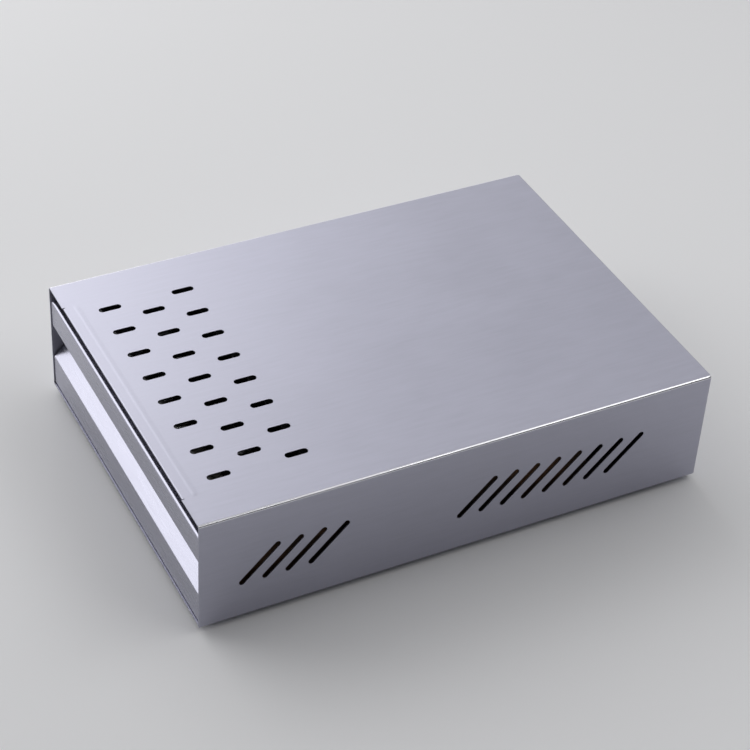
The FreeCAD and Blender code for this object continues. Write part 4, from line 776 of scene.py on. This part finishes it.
def make_dial():
    """Printed scale round the knob, the knob's white pointer line and its bright cap."""
    low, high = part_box("thermostat_knob")
    centre = (low + high) / 2
    panel_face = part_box("thermostat_nut")[0].x
    hub = Vector((panel_face, centre.y, centre.z))
    sweep, labels, ticks = 270, 6, 26
    label_reach = 32 * MM
    texts = []
    for step in range(labels):
        turn = math.radians(sweep // (labels - 1) * step)
        texts.append((str(50 * step),
                      Vector((panel_face + 0.05 * MM, centre.y + label_reach * math.sin(turn),
                              centre.z + label_reach * math.cos(turn)))))
    mesh_data = lettering(texts, 5.4 * MM, FACE_REAR)
    long_from, short_from, ticks_to = 23, 24.2, 26.4
    for index in range(ticks):
        turn = math.radians(sweep * index / (ticks - 1))
        long = index % 5 == 0
        direction = Vector((0, math.sin(turn), math.cos(turn)))
        across = Vector((0, math.cos(turn), -math.sin(turn)))
        half = (0.45 if long else 0.25) * MM
        start = hub + direction * ((long_from if long else short_from) * MM)
        end = hub + direction * ticks_to * MM
        slab(mesh_data, [start - across * half, start + across * half, end + across * half,
                         end - across * half], 0.08 * MM, OUTWARD)
    finish_mesh("dial_scale", mesh_data, DARK_INK, "cabinet")

    mesh_data = bmesh.new()
    top = high.x
    pointer = ((-0.55, 7), (0.55, 7), (0.55, 18.2), (0, 18.7), (-0.55, 18.2))
    corners = [Vector((top, centre.y + y * MM, centre.z + z * MM)) for y, z in pointer]
    slab(mesh_data, corners, 0.1 * MM, OUTWARD)
    finish_mesh("knob_pointer_line", mesh_data, WHITE_INK, "knob")

    mesh_data = bmesh.new()
    cap = ((6.2, 0), (6.2, 0.4), (5.8, 0.75), (5.2, 0.78), (4.9, 0.6), (2.0, 0.62), (0.3, 0.66))
    lathe(mesh_data, "x", Vector((top - 0.35 * MM, centre.y, centre.z)), in_metres(cap),
          segments=48)
    finish_mesh("knob_cap", mesh_data, MATERIALS["rack_chrome"], "knob")


def make_lamp():
    """Domed lens with fine ribs, in a thin bright bezel."""
    low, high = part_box("lamp_lens")
    place = Vector((low.x, (low.y + high.y) / 2, (low.z + high.z) / 2))
    tall = (high.x - low.x) / MM
    dome = ((5.2, 0), (5.25, 0.5), (5.1, tall * 0.35), (4.7, tall * 0.62), (3.8, tall * 0.84),
            (2.4, tall * 0.96), (0.8, tall))
    mesh_data = bmesh.new()
    lathe(mesh_data, "x", place, in_metres(dome), segments=96, ribs=24, rib_depth=0.06)
    lens = finish_mesh("lamp_dome", mesh_data, MATERIALS["lamp_amber"], "cabinet",
                       crisp=60)
    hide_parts("lamp_lens")
    bezel = ((5.3, 0), (6.4, 0), (6.35, 0.5), (6.0, 0.75), (5.5, 0.7), (5.3, 0.4))
    mesh_data = bmesh.new()
    hollow_lathe(mesh_data, "x", place, in_metres(bezel))
    finish_mesh("lamp_bezel", mesh_data, MATERIALS["rack_chrome"], "cabinet")


def make_rocker_marks():
    """A bar and a ring printed on the rocker's two slopes."""
    low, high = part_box("switch_housing")
    panel_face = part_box("thermostat_nut")[0].x
    pivot = Vector((panel_face - 4 * MM, (low.y + high.y) / 2, (low.z + high.z) / 2))
    rest_tilt = Matrix.Rotation(math.radians(-8), 3, "Y")
    # One slope of the rocker in section: its run and rise, and its middle from the pivot.
    run, rise, middle_out, middle_up = 11.3, 3, 7.1, 6.1
    side = Vector((0, 1, 0))
    bar = ((-0.5, -2.4), (0.5, -2.4), (0.5, 2.4), (-0.5, 2.4))
    ring_inner, ring_outer, ring_steps = 1.9, 2.7, 32
    print_depth, print_height = 0.02, 0.1 * MM
    mesh_data = bmesh.new()
    for sign in (1, -1):
        down = Vector((rise, 0, run * sign)).normalized()
        outward = Vector((run, 0, -rise * sign)).normalized()
        middle = Vector((middle_out, 0, middle_up * sign)) * MM
        if sign > 0:
            marks = [bar]
        else:
            marks = []
            for step in range(ring_steps):
                first, second = (AROUND * (step + extra) / ring_steps for extra in (0, 1))
                marks.append([(radius * math.sin(turn), radius * math.cos(turn))
                              for radius, turn in ((ring_inner, first), (ring_inner, second),
                                                   (ring_outer, second), (ring_outer, first))])
        for mark in marks:
            corners = [pivot + rest_tilt @ (middle + side * across * MM + down * up * MM
                                            - outward * print_depth * MM) for across, up in mark]
            slab(mesh_data, corners, print_height, rest_tilt @ outward)
    bmesh.ops.remove_doubles(mesh_data, verts=mesh_data.verts, dist=1e-7)
    finish_mesh("rocker_marks", mesh_data, WHITE_INK, "rocker")


def make_wires():
    """Five insulated wires on smooth curves, each ending in crimped sleeves."""
    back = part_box("thermostat_nut")[0].x / MM
    rear_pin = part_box("heating_element")[1].x / MM
    # Name, colour, and control points in millimetres from one tab to the other.
    routes = (
        ("live", (0.12, 0.045, 0.02),
         [(back - 26, -83, 72), (back - 44, -83, 72), (back - 44, -4, 66), (back - 27, -4, 66)]),
        ("switched", (0.02, 0.02, 0.022),
         [(back - 27, -4, 82), (back - 47, -4, 82), (back - 50, 76, 66), (back - 34, 76, 66)]),
        ("heater", (0.45, 0.05, 0.03),
         [(back - 34, 88, 66), (back - 56, 88, 66), (rear_pin + 18, 60, 27.5),
          (rear_pin, 60, 27.5)]),
        ("neutral", (0.03, 0.09, 0.36),
         [(back - 26, -69, 72), (back - 60, -69, 72), (rear_pin + 20, -60, 27.5),
          (rear_pin, -60, 27.5)]),
        ("earth", (0.16, 0.33, 0.05),
         [(back - 26, -76, 76), (back - 40, -76, 76), (back - 40, -110, 14), (197, -110, 14)]))
    sleeve = ((1.5, 0), (2.0, 0.6), (2.0, 6), (1.75, 6.4), (1.7, 9), (1.3, 9.6))
    for name, colour, points in routes:
        curve = bpy.data.curves.new("wire_" + name, "CURVE")
        curve.dimensions = "3D"
        curve.bevel_depth = 1.2 * MM
        curve.bevel_resolution = 5
        curve.use_fill_caps = True
        spline = curve.splines.new("NURBS")
        spline.points.add(len(points) - 1)
        for point, target in zip(spline.points, points):
            point.co = (*(Vector(target) * MM), 1.0)
        spline.order_u = 3
        spline.use_endpoint_u = True
        spline.resolution_u = 16
        curve.materials.append(moulded(f"wire_{name}_pvc", colour, 0.38, 600.0, 0.1))
        wire = bpy.data.objects.new("wire_" + name, curve)
        bpy.context.scene.collection.objects.link(wire)
        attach(wire, "cabinet")
        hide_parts("wiring_harness")
        mesh_data = bmesh.new()
        for end, inward in ((points[0], points[1]), (points[-1], points[-2])):
            way = -1 if inward[0] < end[0] else 1
            profile = in_metres((radius, way * reach) for radius, reach in sleeve)
            lathe(mesh_data, "x", Vector(end) * MM, profile, segments=20)
        finish_mesh(f"wire_{name}_sleeves", mesh_data,
                    moulded(f"sleeve_{name}", (0.40, 0.38, 0.34), 0.35, 500.0, 0.05), "cabinet")


# ------------------------------------------------------------------ floor, lights, camera

def make_floor():
    """A wide pale floor for the picture only."""
    mesh = bpy.data.meshes.new("floor")
    reach = 6.0
    corners = [(-reach, -reach, 0), (reach, -reach, 0), (reach, reach, 0), (-reach, reach, 0)]
    mesh.from_pydata(corners, [], [(0, 1, 2, 3)])
    floor = bpy.data.objects.new("floor", mesh)
    bpy.context.scene.collection.objects.link(floor)
    shader = Shader("floor_pale")
    shader.set(base_color=(0.86, 0.86, 0.87, 1.0), roughness=0.9)
    mesh.materials.append(shader.material)


def aimed(azimuth, elevation, distance):
    """A point seen from the object at this compass direction (0 is +Y) and height."""
    level = math.cos(math.radians(elevation))
    return (distance * math.sin(math.radians(azimuth)) * level,
            distance * math.cos(math.radians(azimuth)) * level,
            distance * math.sin(math.radians(elevation)))


def softbox(name, place, target, width, height, radiance):
    """A lit rectangle that faces the target; radiance is how bright its surface looks."""
    lamp = bpy.data.lights.new(name, "AREA")
    lamp.shape = "RECTANGLE"
    lamp.size, lamp.size_y = width, height
    lamp.energy = radiance * math.pi * width * height
    holder = bpy.data.objects.new(name, lamp)
    holder.location = place
    holder.rotation_mode = "QUATERNION"
    holder.rotation_quaternion = (Vector(target) - Vector(place)).to_track_quat("-Z", "Y")
    bpy.context.scene.collection.objects.link(holder)


def make_lights():
    """A room that is dark on the near side and bright on the far side, and two softboxes."""
    world = bpy.data.worlds.new("studio")
    world.use_nodes = True
    tree = world.node_tree
    background = tree.nodes["Background"]
    background.inputs["Color"].default_value = (0.98, 0.985, 1.0, 1.0)
    direction = tree.nodes.new("ShaderNodeTexCoord")
    apart = tree.nodes.new("ShaderNodeSeparateXYZ")
    fade = tree.nodes.new("ShaderNodeMapRange")
    fade.interpolation_type = "SMOOTHSTEP"
    limits = (("From Min", -0.5), ("From Max", 0.6), ("To Min", 0.08), ("To Max", 0.73))
    for label, number in limits:
        fade.inputs[label].default_value = number
    tree.links.new(direction.outputs["Generated"], apart.inputs[0])
    tree.links.new(apart.outputs["Y"], fade.inputs["Value"])
    tree.links.new(fade.outputs["Result"], background.inputs["Strength"])
    bpy.context.scene.world = world
    middle = (cad_low + cad_high) / 2
    softbox("back_left", aimed(-24, 32, 2.6), middle, 3.6, 2.2, radiance=1.4)
    softbox("overhead", aimed(122, 54, 2.4), middle, 2.4, 0.9, radiance=1.75)
    bpy.context.scene.view_settings.view_transform = "Standard"


def make_camera():
    """The photograph's viewpoint: left of the near side, looking down, turned a little."""
    camera = bpy.data.cameras.new("camera")
    camera.sensor_width = 36.0
    camera.lens = 103.28
    holder = bpy.data.objects.new("camera", camera)
    nearest_corner = Vector((cad_low.x, cad_low.y, cad_high.z))
    holder.location = nearest_corner + Vector((-0.5569, -1.3262, 1.3350))
    forward = Vector((0.376, 0.684, -0.625)).normalized()
    up = Vector((0.245, 0.577, 0.779))
    right = forward.cross(up).normalized()
    up = right.cross(forward)
    holder.rotation_mode = "QUATERNION"
    holder.rotation_quaternion = Matrix((right, up, -forward)).transposed().to_quaternion()
    bpy.context.scene.collection.objects.link(holder)
    bpy.context.scene.camera = holder


make_camera()
dress_nodes()
soften_edges(("thermostat_knob", "switch_rocker", "switch_housing", "mains_inlet", "lamp_body",
              "magnetic_catch", "thermostat_body"), 0.35 * MM)
soften_edges(("heat_shield", "near_runner_outer", "far_runner_outer", "near_runner_middle",
              "far_runner_middle", "near_runner_inner", "far_runner_inner", "chip_tray_rails",
              "rack_rails", "strike_plate", "thermostat_nut", "inlet_pins"), 0.2 * MM)
make_wool()
make_seals()
make_feet()
make_screws()
make_dial()
make_lamp()
make_rocker_marks()
make_wires()
make_floor()
make_lights()
